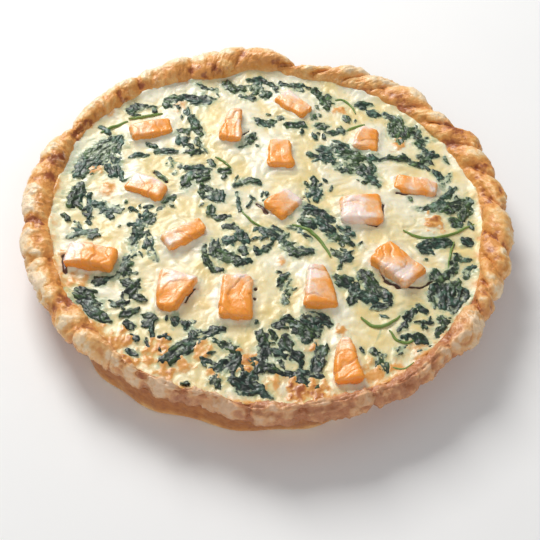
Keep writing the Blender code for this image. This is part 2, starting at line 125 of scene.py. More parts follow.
# Spinach strokes: width, then the points that each passes, in mm in plan
STROKES = (
    (15, (-112, 20), (-106, 33), (-95, 48)), (9, (-96, 42), (-93, 22)), (2.5, (-107, 59), (-100, 53)),
    (5, (-93, 76), (-83, 81)), (2.5, (-83, 80), (-76, 81)), (3, (-92, 73), (-85, 73)),
    (5, (-71, 88), (-60, 91)), (5, (-71, 84), (-67, 82)), (10, (-57, 92), (-50, 90), (-43, 92)),
    (3.5, (-56, 105), (-42, 101)), (4, (-57, 81), (-57, 77)), (6, (-53, 76), (-50, 68), (-45, 60)),
    (3, (-62, 60), (-55, 63), (-50, 66)), (5, (-47, 56), (-45, 50)), (5, (-58, 56), (-55, 52)),
    (2.5, (-64, 58), (-59, 58)), (4, (-70, 42), (-63, 44), (-59, 44)), (4, (-62, 38), (-60, 31)),
    (3.5, (-53, 44), (-43, 45)), (3, (-77, 48), (-71, 46)), (3.5, (-85, 36), (-75, 40)),
    (3, (-56, 34), (-55, 32)), (2.2, (-69, 26), (-61, 19)), (2.5, (-88, 24), (-87, 15)),
    (6, (-50, 15), (-49, 26)), (7, (-50, 30), (-40, 30)), (6, (-47, 24), (-38, 24)),
    (3.5, (-40, 17), (-35, 16)), (5, (-36, 14), (-30, 8)), (4, (-33, 3), (-34, -4)),
    (4, (-38, 38), (-34, 35)), (4, (-31, 31), (-25, 31)), (8, (-111, 10), (-112, -6)),
    (2.5, (-104, 4), (-101, -12)), (2, (-109, -3), (-106, -9)), (7, (-100, -3), (-93, -6), (-85, -6)),
    (5, (-92, -8), (-89, -12)), (3, (-116, -14), (-112, -18)),
    (4.5, (-110, -29), (-104, -26), (-95, -23)), (3, (-99, -28), (-94, -26)),
    (2, (-106, -19), (-105, -24)), (2, (-80, -4), (-75, -6)), (2.5, (-71, -3), (-66, -1)),
    (5, (-70, -6), (-67, -13)), (4, (-61, 2), (-55, 8)),
    (6, (-66, -12), (-72, -19), (-74, -28), (-72, -37)), (3, (-78, -17), (-70, -15)),
    (5, (-66, -22), (-64, -32), (-60, -40)), (7, (-73, -40), (-79, -50), (-89, -60)),
    (3, (-78, -48), (-69, -51)), (6, (-75, -57), (-70, -60)), (6, (-66, -57), (-70, -64)),
    (4, (-69, -67), (-62, -68)), (8, (-107, -68), (-98, -70), (-88, -75), (-82, -81)),
    (7, (-93, -77), (-84, -83)), (6, (-85, -82), (-79, -84)), (3, (-100, -65), (-88, -67)),
    (3, (-79, -74), (-70, -71)), (4, (-72, -80), (-64, -76)), (4, (-69, -84), (-66, -88)),
    (4, (-61, -79), (-55, -79)), (3, (-61, -83), (-54, -81)), (2.5, (-57, -82), (-54, -92)),
    (3, (-65, -93), (-61, -95)), (3, (-66, -102), (-61, -104)), (5, (-44, -78), (-43, -83)),
    (6, (-18, -83), (-28, -87), (-35, -93)), (6, (-38, -81), (-32, -88)),
    (8, (-34, -92), (-40, -101), (-47, -106)), (2.5, (-51, -92), (-45, -92)),
    (6, (-21, -92), (-12, -94), (-9, -99)), (7, (-9, -99), (-12, -106), (-20, -108)),
    (3, (-28, -103), (-20, -105)), (6, (-19, -113), (-18, -119)), (2.5, (-36, -119), (-32, -119)),
    (6, (-17, -15), (-11, -21)), (7, (-28, -24), (-28, -33)), (6, (-23, -22), (-17, -21)),
    (8, (-27, -31), (-16, -35)), (6, (-12, -25), (-11, -30)), (6, (-15, -38), (-9, -36)),
    (3, (-34, -27), (-33, -37), (-27, -44), (-22, -44)), (5, (-24, -12), (-18, -12)),
    (6, (-6, -11), (0, -13), (5, -14)), (3, (3, -9), (8, -11)), (6, (7, -16), (11, -13)),
    (2.5, (-6, -24), (-4, -29), (1, -26), (4, -21)), (6, (10, -17), (12, -23), (17, -26), (25, -24)),
    (3, (9, -20), (16, -20)), (3.5, (14, -7), (21, -11), (26, -17)),
    (3, (30, -5), (37, -10), (42, -13), (49, -17)), (5, (35, -12), (39, -15)),
    (3, (42, -16), (43, -18)), (4, (40, -4), (49, -10)), (7, (41, -25), (47, -27)),
    (3, (38, -22), (40, -24)), (8, (22, -3), (26, -5)), (4, (11, -45), (14, -42)),
    (3.5, (15, -46), (15, -57)), (3, (11, -46), (11, -53)), (4, (13, -59), (14, -63)),
    (4, (9, -78), (13, -74), (17, -72)), (4, (8, -82), (10, -86)), (6, (17, -75), (22, -77)),
    (9, (20, -77), (24, -80), (28, -85)), (9, (25, -70), (28, -76), (32, -82)),
    (5, (32, -68), (38, -74)), (4, (26, -65), (30, -66)), (7, (15, -84), (17, -92)),
    (8, (20, -94), (24, -98)), (7, (33, -88), (34, -93), (32, -99), (33, -105)),
    (6, (9, -94), (15, -97)), (6, (8, -103), (11, -105)),
    (4, (6, -105), (15, -108), (25, -107), (36, -107)), (6, (2, -83), (4, -89), (4, -95), (2, -108)),
    (4, (-3, -101), (0, -102)), (7, (21, -109), (28, -111), (33, -112)),
    (8, (-10, -115), (-3, -118), (4, -118)), (5, (-6, -112), (2, -111)), (5, (6, -120), (10, -123)),
    (8, (87, -13), (95, -10), (104, -8)), (4, (87, -15), (94, -17)), (5, (108, -25), (101, -35)),
    (6, (112, -4), (117, -8)), (4, (107, -20), (116, -19)), (7, (117, -24), (113, -32)),
    (7, (96, -31), (98, -37)), (9, (95, -42), (97, -52)), (9, (102, -40), (100, -56)),
    (5, (108, -36), (106, -41)), (7, (109, -41), (112, -47), (108, -53), (104, -58)),
    (4, (114, -47), (111, -52)), (9, (42, -42), (49, -46)), (5, (51, -44), (50, -58)),
    (9, (55, -36), (60, -44), (63, -50)), (8, (54, -52), (61, -54)), (5, (67, -47), (70, -56)),
    (4, (60, -60), (69, -57)), (6, (83, -59), (79, -66)), (3, (75, -74), (79, -68)),
    (2, (84, -67), (94, -66)), (5, (86, -56), (89, -59)), (5, (83, -76), (90, -80)),
    (5, (99, -69), (96, -75)), (4, (94, -82), (91, -85)), (7, (98, -64), (104, -66)),
    (4, (73, -89), (79, -84)), (6, (64, -91), (67, -97), (69, -102)), (3, (61, -87), (62, -90)),
    (5, (84, -88), (88, -87)), (6, (50, 99), (54, 97)), (6, (57, 94), (62, 92)),
    (3, (50, 102), (58, 101)), (6, (66, 93), (75, 89), (79, 80), (76, 69)), (7, (71, 84), (73, 75)),
    (8, (83, 82), (88, 79)), (6, (86, 75), (93, 72)), (6, (87, 70), (92, 66)), (3, (96, 76), (99, 73)),
    (6, (88, 60), (97, 61)), (5, (90, 56), (95, 54)), (2, (103, 60), (106, 55)),
    (4, (64, 52), (70, 55), (80, 55), (88, 52), (94, 49)), (4, (97, 48), (100, 42), (101, 33)),
    (4, (106, 47), (105, 40)), (9, (96, 17), (105, 19), (113, 24)),
    (6, (117, 26), (116, 17), (112, 11)), (4, (84, 16), (90, 15), (97, 19), (104, 28), (109, 35)),
    (7, (107, 9), (110, 6)), (3, (116, 9), (118, 4)), (7, (59, 57), (60, 52)),
    (3.5, (20, 52), (27, 50), (31, 46)), (9, (29, 57), (40, 56), (50, 52)),
    (9, (31, 50), (42, 47), (52, 44)), (4, (35, 65), (44, 61), (54, 54), (61, 44)),
    (5, (40, 42), (47, 40)), (9, (52, 46), (58, 38), (60, 34)), (4, (53, 38), (63, 31)),
    (3, (29, 72), (38, 72)), (7, (25, 76), (29, 78)), (2, (21, 70), (25, 65)), (4, (38, 76), (42, 74)),
    (5, (41, 88), (43, 84)), (8, (-34, 108), (-33, 104)), (7, (-31, 104), (-27, 103)),
    (5, (-26, 106), (-22, 103)), (5, (-25, 98), (-17, 97)),
    (4, (-21, 113), (-14, 115), (-7, 112), (-3, 108)), (9, (-15, 109), (-16, 104)),
    (6, (-10, 103), (-8, 99)), (3, (-1, 111), (6, 111)), (5, (7, 113), (13, 108)),
    (5, (22, 110), (24, 104)), (7, (25, 103), (29, 101), (31, 95)), (4, (30, 106), (30, 102)),
    (6, (-12, 76), (-5, 74)), (3, (-5, 77), (-1, 78)), (4, (0, 82), (3, 81)),
    (5, (5, 75), (12, 75), (17, 76)), (3, (22, 86), (24, 84)), (5, (-21, 53), (-15, 60)),
    (3, (-16, 62), (-14, 65)), (3.5, (-21, 21), (-18, 24), (-11, 26), (-6, 24)),
    (3, (-19, 15), (-17, 1)), (6, (-34, 13), (-32, 12)), (5, (-29, 14), (-27, 9)),
    (3, (-34, -3), (-29, -6), (-22, -4)), (2, (-11, 14), (-8, 11)), (4, (25, 33), (25, 27)),
    (8, (22, 20), (26, 25)), (4, (27, 15), (28, 22)), (4, (13, 4), (20, 9)), (6, (17, 9), (25, 8)),
    (8, (25, 7), (31, 2), (37, 0)), (5, (29, 1), (33, -6), (40, -11)), (7, (21, -2), (26, -6)),
)
STROKE_TAPER = 0.35
SPECKS = 260
SPECK_SEED = 12
SPECK_CLEAR = 9.0

# Green stems: the points that each passes, in mm
STEMS = (
    ((-91, 68), (-81, 72), (-71, 76)), ((-106, 54), (-99, 60), (-91, 66)),
    ((-35, 42), (-30, 39), (-25, 34)), ((-16, 2), (-10, -5), (-2, -10)),
    ((35, 102), (42, 101), (48, 91)), ((78, -2), (96, -6), (119, 8)), ((14, -6), (27, -12), (37, -27)),
    ((55, -67), (65, -72), (76, -63)), ((70, -74), (77, -81), (84, -78)),
    ((71, -97), (78, -98), (83, -93)), ((107, -7), (105, -14), (103, -27)),
    ((43, 75), (48, 79), (54, 82)),
)

# Browned spots of the custard: x, y, radius (mm), strength
BROWNED = (
    (-105, -61, 7, 0.6), (-97, -60, 5, 0.5), (-71, -96, 8, 0.8), (-50, -97, 7, 0.85),
    (-64, -110, 6, 0.9), (-55, -107, 5, 0.8), (-45, -112, 6, 0.8), (-28, -98, 6, 0.65),
    (-35, -108, 5, 0.7), (-5, -102, 7, 0.85), (13, -113, 6, 0.5), (24, -118, 7, 1.1),
    (33, -116, 7, 0.9), (-20, -111, 5, 0.55), (9, -34, 4, 0.5), (39, 93, 5, 0.65), (75, 68, 5, 0.6),
    (96, 6, 6, 0.9), (44, -77, 4, 0.6), (75, -100, 7, 0.65), (-94, 9, 6, 0.55), (-104, 24, 5, 0.7),
    (62, -103, 8, 0.6), (30, -88, 4, 0.8), (-112, -42, 5, 0.5), (85, -83, 7, 0.35), (-62, 85, 6, 0.35),
    (-84, -92, 6, 0.5),
)

# Darker patches of the pastry: angle, half width, place on the rim (0 outside to 1 inside), strength
TOASTED = (
    (190, 1.5, 0.5, 0.9), (176, 2.5, 0.7, 0.5), (170, 2, 0.6, 0.4), (166, 3, 0.25, 0.4),
    (200, 3, 0.5, 0.35), (216, 5, 0.6, 0.5), (316, 4, 0.45, 0.4), (306, 4, 0.4, 0.35),
    (339, 2.5, 0.5, 0.9), (231, 5, 0.6, 0.35), (156, 3, 0.8, 0.7), (38, 3, 0.6, 0.7), (28, 3, 0.5, 0.7),
    (18, 2, 0.5, 0.8), (24, 3, 0.2, 0.5), (121, 3, 0.75, 0.3), (131, 3, 0.6, 0.3), (112, 4, 0.8, 0.3),
    (140, 3, 0.7, 0.3), (290, 5, 0.4, 0.35), (354, 4, 0.6, 0.4), (6, 4, 0.55, 0.4), (89, 2, 0.4, 0.5),
)

# Paler stretches on the outer side of the pastry, partly paler pastry and partly painted highlight where the
# light falls: angle, half width, strength
PALE_AND_LIT_STRETCHES = (
    (128, 32, 0.8), (72, 22, 0.3), (246, 24, 0.15), (183, 7, 0.55), (195, 5, 0.4), (164, 5, 0.4),
    (208, 4, 0.4), (345, 7, 0.5),
)

# Cracks of the custard beside the chunks, sunk and painted near black as shadow: width, then the points that
# each passes, in mm
CRACKS = (
    (2.2, (-69, 26), (-61, 19)), (1.1, (-61, 10), (-64, 3)), (2.2, (-7, 8), (-1, 1)),
    (1.2, (9, -1.5), (14, 5), (20, 17)), (1.4, (66, 16), (65.5, 3), (62, -1), (54, 0)),
    (1.4, (73.5, 26), (80, 26), (96.5, 27.5)), (3.0, (-109.8, -44), (-107.2, -54.5)),
    (1.1, (-40, -68), (-36, -58)), (2.2, (68, -40), (75, -44.5)),
    (1.2, (75, -44.5), (88, -42), (94, -37)), (1.0, (61, -26), (68, -40)), (1.3, (-17, 67), (-21, 62)),
    (1.6, (-3, -54), (-3.2, -55)), (1.6, (-3, -61), (-3.2, -62)),
)

# The camera, at the photo's angle
CAMERA_AIM = (3.8, -39.8, 25.0)
CAMERA_DISTANCE = 0.62
CAMERA_ELEVATION = 51.2
CAMERA_ROLL = 5.26
CAMERA_FIELD = 27.08


# Noise and small curves, all on arrays

def lattice(seed):
    """Shuffled table and unit gradients for one seed."""
    rng = np.random.default_rng(seed)
    gradients = rng.normal(size=(256, 3))
    gradients /= np.linalg.norm(gradients, axis=1)[:, None]
    return np.tile(rng.permutation(256), 2), gradients


LATTICES = {}


def perlin(points, seed=0):
    """Gradient noise at each point, about -1 to 1."""
    if seed not in LATTICES:
        LATTICES[seed] = lattice(seed)
    table, gradients = LATTICES[seed]
    cell = np.floor(points).astype(int)
    f = points - cell
    fade = f * f * f * (f * (f * 6 - 15) + 10)
    total = np.zeros(len(points))
    for corner in range(8):
        step = np.array([corner & 1, corner >> 1 & 1, corner >> 2 & 1])
        at = (cell + step) & 255
        pick = gradients[table[(table[(table[at[:, 0]] + at[:, 1]) & 255] + at[:, 2]) & 255]]
        weight = np.prod(np.where(step == 1, fade, 1 - fade), axis=1)
        total += weight * np.einsum("ij,ij->i", pick, f - step)
    return total * 1.5


def fractal(points, pitch, seed, octaves=3, gain=0.5):
    """Noise of several sizes, the largest of the given pitch."""
    total = np.zeros(len(points))
    for k in range(octaves):
        total += gain ** k * perlin(points / (pitch / 2 ** k), seed + k)
    return total


def ridges(points, pitch, seed, octaves=2):
    """Sharp-crested noise from 0 to 1."""
    total = np.zeros(len(points))
    for k in range(octaves):
        total += 0.5 ** k * (1 - np.clip(np.abs(perlin(points / (pitch / 2 ** k), seed + k)) * 2.2, 0, 1))
    return total / (2 - 0.5 ** (octaves - 1))


def warp(space, pitch, seeds, octaves=2, shift=0.0):
    """Plan shift of each point by two noises."""
    one, two = seeds
    return np.column_stack([fractal(space, pitch, one, octaves), fractal(space + shift, pitch, two, octaves)])


def ease(low, high, value):
    """Smooth step from 0 at low to 1 at high."""
    t = np.clip((value - low) / (high - low), 0, 1)
    return t * t * (3 - 2 * t)


def bell(away, half_width, power=2):
    """Round bump: 1 at no distance, fading out past the half width."""
    return np.exp(-(away / half_width) ** power)


def fading(away, reach):
    """Share of 1 that dies away with the distance, over the reach."""
    return np.exp(-np.maximum(away, 0) / reach)


def angle_away(angle, centre):
    """Signed angle from the centre, from -180 to 180 degrees."""
    return (angle - centre + 180) % 360 - 180


def direction(turn):
    """Cosine and sine of an angle in degrees."""
    return math.cos(math.radians(turn)), math.sin(math.radians(turn))


def sway(angle, bumps):
    """Sum of the round bumps at the angles, in mm."""
    total = np.zeros_like(angle, dtype=float)
    for centre, half_width, amount in bumps:
        total += amount * bell(angle_away(angle, centre), half_width)
    return total


def flat(points, lift=0.0):
    """Plan points as space points at one height, for noise."""
    return np.column_stack([points[:, 0], points[:, 1], np.full(len(points), lift)])


def along_span(points, one, two):
    """Share of the way from one to two beside each plan point, and the distance to it."""
    t = np.clip((points - one) @ (two - one) / np.linalg.norm(two - one) ** 2, 0, 1)
    return t, np.linalg.norm(points - one - t[:, None] * (two - one), axis=1)


# Meshes

def placed(name, data):
    """Object of a mesh, a lamp or a camera, linked to the scene."""
    piece = bpy.data.objects.new(name, data)
    bpy.context.scene.collection.objects.link(piece)
    return piece


def make_piece(name, points, faces, look, masks):
    """Object of points in mm with its masks and its material, smooth shaded."""
    mesh = bpy.data.meshes.new(name)
    mesh.from_pydata((np.asarray(points) * MM).tolist(), [], faces)
    mesh.validate()
    piece = placed(name, mesh)
    dress(mesh, look, masks)
    return piece


def dress(mesh, look, masks):
    """Give a mesh its material, its smooth shading and its masks for the colours."""
    for label, values in masks.items():
        layer = mesh.attributes.new(label, "FLOAT", "POINT")
        layer.data.foreach_set("value", np.asarray(values, dtype=np.float32))
    mesh.shade_smooth()
    mesh.materials.clear()
    mesh.materials.append(look)


def grid_faces(rows, columns, wrap=False):
    """Quads of a grid of points kept row by row; wrap joins the last row to the first."""
    index = np.arange(rows * columns).reshape(rows, columns)
    after = np.roll(index, -1, axis=0) if wrap else index[1:]
    here = index if wrap else index[:-1]
    quads = np.stack([here[:, :-1], after[:, :-1], after[:, 1:], here[:, 1:]], axis=-1)
    return quads.reshape(-1, 4).tolist()


def normals_of(grid):
    """Unit normals of a grid of points whose rows go round."""
    along = np.roll(grid, -1, axis=0) - np.roll(grid, 1, axis=0)
    across = np.gradient(grid, axis=1)
    normal = np.cross(along, across)
    return normal / np.maximum(np.linalg.norm(normal, axis=2, keepdims=True), 1e-9)


# The pastry case

CASE_STATIONS = 1300
SPAN_STEPS = (4, 12, 7, 7, 8, 8, 8, 6, 5, 2, 3)
UNDER_TOP = 0.15

# Shares along the section: places counted in spans from the foot, then the values there
BANDS = {
    "weight": ((0, 1.6, 2.6, 3.5, 7.6, 8.8, 9.3), (0, 0.15, 0.6, 1, 1, 0.7, 0)),
    "side": ((3, 8), (0, 1)), "wall": ((0, 1, 1.4, 3.0, 3.8), (0, 0, 1, 1, 0)),
    "lip": ((2.6, 3.3, 4.2, 5.2), (0, 1, 0.8, 0)), "slope": ((6.0, 7.4, 9.2), (0, 1, 1)),
    "crown": ((4.2, 5.2, 6.2, 7.2), (0, 1, 1, 0)), "outer": ((3.2, 4.0, 5.4, 6.8), (0, 1, 1, 0)),
}

# Stretches of the edge: middle angle and half width
# The front stretch is painted rosier and darker as shade, and given more relief
SHADED_FRONT_STRETCH = (285, 48)
LOOSE_FLAP = (248, 22)
WRINKLED_SIDE = (128, 30)

# Noises of the pastry: pitch in mm, seed and octaves
PUFFS = (17, 1, 2)
LUMPS = (7, 5, 3)
CRAGS = (4.2, 9, 3)
FLAKES = (1.9, 12, 2)
FLAKY_PLACES = (15, 51, 2)
WRINKLED_PLACES = (26, 21, 2)
CREASE_PLACES = (20, 49, 2)
BLOTCHES = (14, 61, 2)
MOTTLES = (6, 64, 2)

# Streaks of the pastry: pitch in mm along and across the edge, seed
WRINKLES = (3.1, 15, 14)
LAYERS = (19, 1.6, 31)
ROLLS = (16, 4.2, 35)
SPLITS = (22, 12, 45)
TEARS = (6, 40, 41)

# Heights of the pastry's forms in mm, with what the shaded front stretch adds to them
PUFF_HEIGHT = (1.4, -0.3)
LUMP_HEIGHT = (0.9, 0.7)
ROLL_HEIGHT = (0.0, 1.3)
CREASE_DEPTH = (0.45, 0.6)
CRAG_HEIGHT = 1.4
FLAKE_HEIGHT = 0.35
WRINKLE_HEIGHT = 0.5
SPLIT_DEPTH = 0.5
LAYER_HEIGHT = 0.8
FLAP_OUT = 0.7

# Half widths of a crease and of the dip round it, as shares of a crimp; the dip is only a painted shade round
# the crease
CREASE_WIDTH = 0.07
DIP_WIDTH = 0.2


def crimps():
    """Every crimp of the edge: its two angles, the depths of its two creases, swelling and lift."""
    draw = random.Random(CRIMP_SEED)
    closed = CREASES + ((CREASES[0][0] + 360, CREASES[0][1]),)
    rows = []
    for (start, deep), (end, deep_after) in zip(closed, closed[1:]):
        rows.append((start, end, deep, deep_after, draw.uniform(-0.9, 1.1), draw.uniform(-0.8, 0.9)))
    return rows


def case_sections(stations):
    """Section points at even stations round the case, each station's crimp share and its angle."""
    angles = CREASES[0][0] + 360 * np.arange(stations) / stations
    rows = np.array(crimps())
    which = np.clip(np.searchsorted(rows[:, 0], angles, side="right") - 1, 0, len(rows) - 1)
    start, end, deep, deep_after, swelling, lift = rows[which].T
    share = np.clip((angles - start) / (end - start), 0, 1)
    hump = np.sin(math.pi * share) ** HUMP_POWER
    out = (deep + (deep_after - deep) * share) * (hump - 1) + swelling * hump
    leaning = bell(angle_away(angles, SLANT_MIDDLE), SLANT_REACH, 4)
    slant = math.degrees(CREASE_SLANT / RIM_MIDDLE[0]) * leaning
    rings = []
    for radius, height, part, rim_share, side in SECTION:
        turned = angles - slant * rim_share
        rest = sway(turned, WALL_SWAY if side == "wall" else BASE_SWAY)
        offset = rim_share * sway(turned, RIM_SWAY) + (1 - rim_share) * rest
        away = np.array([radius - RIM_MIDDLE[0], height - RIM_MIDDLE[1]])
        away /= np.linalg.norm(away)
        r = radius + offset + away[0] * out * part
        z = height + (away[1] * out + lift * hump + sway(turned, RIM_LIFT)) * part
        turn = np.radians(turned)
        rings.append(np.stack([r * np.cos(turn), r * np.sin(turn), z], axis=1))
    return np.stack(rings, axis=1), share, angles


def curve_through(control, counts):
    """Catmull-Rom curve through the control points of each row, with a count of steps a span."""
    padded = np.concatenate([control[:, :1], control, control[:, -1:]], axis=1)
    parts = []
    for k, count in enumerate(counts):
        a, b, c, d = (padded[:, k + j, None, :] for j in range(4))
        t = (np.arange(count) / count)[None, :, None]
        parts.append(0.5 * (2 * b + (c - a) * t + (2 * a - 5 * b + 4 * c - d) * t ** 2
                            + (3 * b - a - 3 * c + d) * t ** 3))
    parts.append(control[:, -1:])
    return np.concatenate(parts, axis=1)


class CaseSurface:
    """Fine surface of the pastry case: rows of section points round the pie, with their noises."""

    def __init__(self):
        control, share, angles = case_sections(CASE_STATIONS)
        under_top = (1 - UNDER_TOP) * control[:, -2] + UNDER_TOP * control[:, -1]
        self.grid = curve_through(np.insert(control, -1, under_top, axis=1), SPAN_STEPS)
        self.rows, self.columns, _ = self.grid.shape
        self.points = self.grid.reshape(-1, 3)
        self.turned = np.repeat(angles % 360, self.columns)
        arc = np.repeat(np.radians(angles) * RIM_MIDDLE[0], self.columns)
        steps = np.linalg.norm(np.diff(self.grid[0], axis=0), axis=1)
        across = np.tile(np.r_[0, np.cumsum(steps)], self.rows)
        self.strip = np.column_stack([arc, across, np.zeros_like(arc)])
        self.shaded_front = bell(self.turned - SHADED_FRONT_STRETCH[0], SHADED_FRONT_STRETCH[1], 4)
        self.flap = bell(self.turned - LOOSE_FLAP[0], LOOSE_FLAP[1])
        self.to_crease = np.repeat(np.minimum(share, 1 - share), self.columns)
        self.to_crease += 0.04 * perlin(self.strip / 5, 48)
        self.draw_noises()

    def draw_noises(self):
        """Noises that both the relief and the colours follow."""
        self.puffs = fractal(self.points, *PUFFS)
        self.lumps = fractal(self.points, *LUMPS)
        self.crags = ridges(self.points, *CRAGS) - 0.5
        self.flaky = ease(0.05, 0.45, fractal(self.points, *FLAKY_PLACES))
        split = self.streaks(SPLITS, 0.3 * self.puffs, octaves=1)
        self.splits = ease(0.90, 0.99, split) * ease(0.0, 0.5, self.puffs)
        depth = np.clip(0.55 + 0.8 * fractal(self.points, *CREASE_PLACES), 0.1, 1.2)
        self.crease = bell(self.to_crease, CREASE_WIDTH) * self.band("weight") * depth

    def band(self, name):
        """Share of every point, by its place along the section."""
        places = [np.arange(count) / count + k for k, count in enumerate(SPAN_STEPS)]
        along = np.concatenate(places + [[len(SPAN_STEPS)]])
        return np.tile(np.interp(along, *BANDS[name]), self.rows)

    def streaks(self, sizes, bend=0.0, octaves=2):
        """Sharp-crested noise from 0 to 1, drawn out along or across the edge."""
        along, across, seed = sizes
        bend = np.broadcast_to(bend, len(self.strip))[:, None]
        return ridges(self.strip / [along, across, 1] + bend, 1.0, seed, octaves)

    def relief(self):
        """How far each point stands out of the plain case, in mm."""
        weight, wall, lip = self.band("weight"), self.band("wall"), self.band("lip")
        shaded_front, flap = self.shaded_front, self.flap
        puff, lump, roll, cut = (base + more * shaded_front for base, more in
                                 (PUFF_HEIGHT, LUMP_HEIGHT, ROLL_HEIGHT, CREASE_DEPTH))
        flakes = ridges(self.points + 0.8 * self.lumps[:, None], *FLAKES) - 0.5
        side = bell(self.turned - WRINKLED_SIDE[0], WRINKLED_SIDE[1])
        wrinkled = ease(-0.2, 0.4, fractal(self.points, *WRINKLED_PLACES) + 0.35 * side)
        wrinkles = self.streaks(WRINKLES) - 0.5
        layers = self.streaks(LAYERS) - 0.5
        rolls = self.streaks(ROLLS, 0.2 * self.puffs) - 0.5
        torn = fractal(self.strip / [TEARS[0], TEARS[1], 1], 1.0, TEARS[2], 3)
        on_edge = (puff * self.puffs + lump * self.lumps + roll * rolls
                   + CRAG_HEIGHT * self.crags * (0.3 + 0.7 * self.flaky) + FLAKE_HEIGHT * flakes
                   + WRINKLE_HEIGHT * wrinkles * wrinkled - SPLIT_DEPTH * self.splits)
        on_lip = (1.0 + 0.8 * flap) * torn + FLAP_OUT * flap
        return weight * on_edge - cut * self.crease + LAYER_HEIGHT * wall * layers + lip * on_lip

    def spots(self):
        """How much of a toasted patch reaches each point."""
        side = self.band("side")
        spots = np.zeros(len(self.points))
        for angle, half_width, place, strength in TOASTED:
            near = (angle_away(self.turned, angle) / half_width) ** 2 + ((side - place) / 0.3) ** 2
            spots = np.maximum(spots, strength * np.exp(-near * (1 + 0.9 * self.lumps)))
        return spots

    def pale_and_lit_share(self):
        """How much of a paler stretch reaches each point: paler pastry with painted highlight on the outer
        side.
        """
        stretch = np.zeros(len(self.points))
        for angle, half_width, strength in PALE_AND_LIT_STRETCHES:
            away = angle_away(self.turned, angle)
            stretch = np.maximum(stretch, strength * bell(away, half_width))
        return stretch * self.band("outer")

    def masks(self, push):
        """How toasted each point is with painted shade added, how pale with painted highlight, its share of
        the front's painted shade, and its share of the lower wall.
        """
        weight, wall, crown = self.band("weight"), self.band("wall"), self.band("crown")
        shaded_front, spots, stretch = self.shaded_front, self.spots(), self.pale_and_lit_share()
        # raised parts get painted light and low parts painted shade below
        raised = ease(-1.4, 1.8, push + 0.6 * self.lumps)
        dip = bell(self.to_crease, DIP_WIDTH) * weight
        # real browned blotches, mottles and toasted spots, plus painted shade on the inner slope, in low
        # parts, creases, dips and splits, on the lower wall and at the front, and painted light on raised
        # crown tops
        toast_and_shade = 0.44 + 0.40 * fractal(self.points, *BLOTCHES) + 0.24 * fractal(self.points, *MOTTLES)
        toast_and_shade += 0.34 * self.band("slope") - 0.42 * crown * raised + 0.45 * weight * (0.45 - raised)
        toast_and_shade += (0.16 + 0.4 * shaded_front) * self.crease + (0.24 + 0.15 * shaded_front) * dip + 0.20 * self.splits
        toast_and_shade += 0.8 * spots + 0.60 * wall + 0.16 * shaded_front * weight - 0.5 * stretch
        even = np.clip(wall + 0.8 * shaded_front * weight, 0, 1)
        toast_and_shade -= even * np.maximum(toast_and_shade - 0.94 - 0.12 * wall, 0)
        # pale: painted highlight on raised crown tops and crag crests, the pale and lit stretches, and the
        # flap's lip
        pale = crown * (0.32 - 0.1 * shaded_front) * raised - 0.7 * spots
        pale += 0.7 * weight * (1 - 0.6 * shaded_front) * ease(0.12, 0.45, self.crags) * self.flaky
        pale += 0.2 * self.flap * self.band("lip") + 0.75 * stretch * (0.4 + 0.6 * raised)
        pale = np.clip(pale * (1 - 0.6 * shaded_front), 0, 1)
        return {"toast_and_shade": np.r_[np.clip(toast_and_shade, 0, 1.4), 0.5, 0.5], "pale": np.r_[pale, 0, 0],
                "shaded_front": np.r_[shaded_front * weight, 0, 0], "wall": np.r_[wall, 0.5, 0]}

    def closed_faces(self):
        """Faces of the surface, with a fan below and one above to the two middle points."""
        index = np.arange(self.rows) * self.columns
        after = np.roll(index, -1)
        under = self.rows * self.columns
        last = self.columns - 1
        faces = grid_faces(self.rows, self.columns, wrap=True)
        faces += [(int(b), int(a), under) for a, b in zip(index, after)]
        faces += [(int(a) + last, int(b) + last, under + 1) for a, b in zip(index, after)]
        return faces


def crust(look):
    """Pastry case with puffed crimps, cracks, flaky crags, a ragged lip and toasted patches."""
    case = CaseSurface()
    push = case.relief()
    moved = case.points + normals_of(case.grid).reshape(-1, 3) * push[:, None]
    moved[:, 2] = np.maximum(moved[:, 2], 0.0)
    moved[case.points[:, 2] < 0.01, 2] = 0.0
    closed = np.vstack([moved, [[0, 0, 0], [0, 0, FLOOR_THICKNESS]]])
    piece = make_piece("pastry_case", closed, case.closed_faces(), look, case.masks(push))
    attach(piece, BODY)
    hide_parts("crust")


# The custard

CUSTARD_GRID = 300
CUSTARD_GAP = 0.4
WALL_BITE = 1.7
UNDERSIDE_DROP = 14.0
UNDERSIDE_SHARE = 0.95
SKIRT_HEIGHT = 1.9
SKIRT_REACH = 2.0
CLIMB_HEIGHT = 1.7
CLIMB_REACH = 3.0
CRACK_DEPTH = 1.5


def custard_base(x, y):
    """Height of the plain custard surface in mm, as in the solids."""
    radius = min(1.0, math.hypot(x, y) / WALL_RADIUS)
    swell = noise.noise(Vector((x / SWELL_PITCH, y / SWELL_PITCH, SWELL_SLICE)))
    return CUSTARD_TOP + CUSTARD_DOME * (1 - radius ** 2) + CUSTARD_SWELL * swell


def base_heights(points):
    """Height of the plain custard surface at each plan point, in mm."""
    return np.array([custard_base(x, y) for x, y in points])


def wall_at(points):
    """Radius in mm of the wall's inner face, in the direction of each plan point."""
    return WALL_RADIUS + sway(np.degrees(np.arctan2(points[:, 1], points[:, 0])), WALL_SWAY)


def wall_gap(points):
    """Distance in mm from each plan point out to the wall's inner face."""
    return wall_at(points) - np.hypot(points[:, 0], points[:, 1])


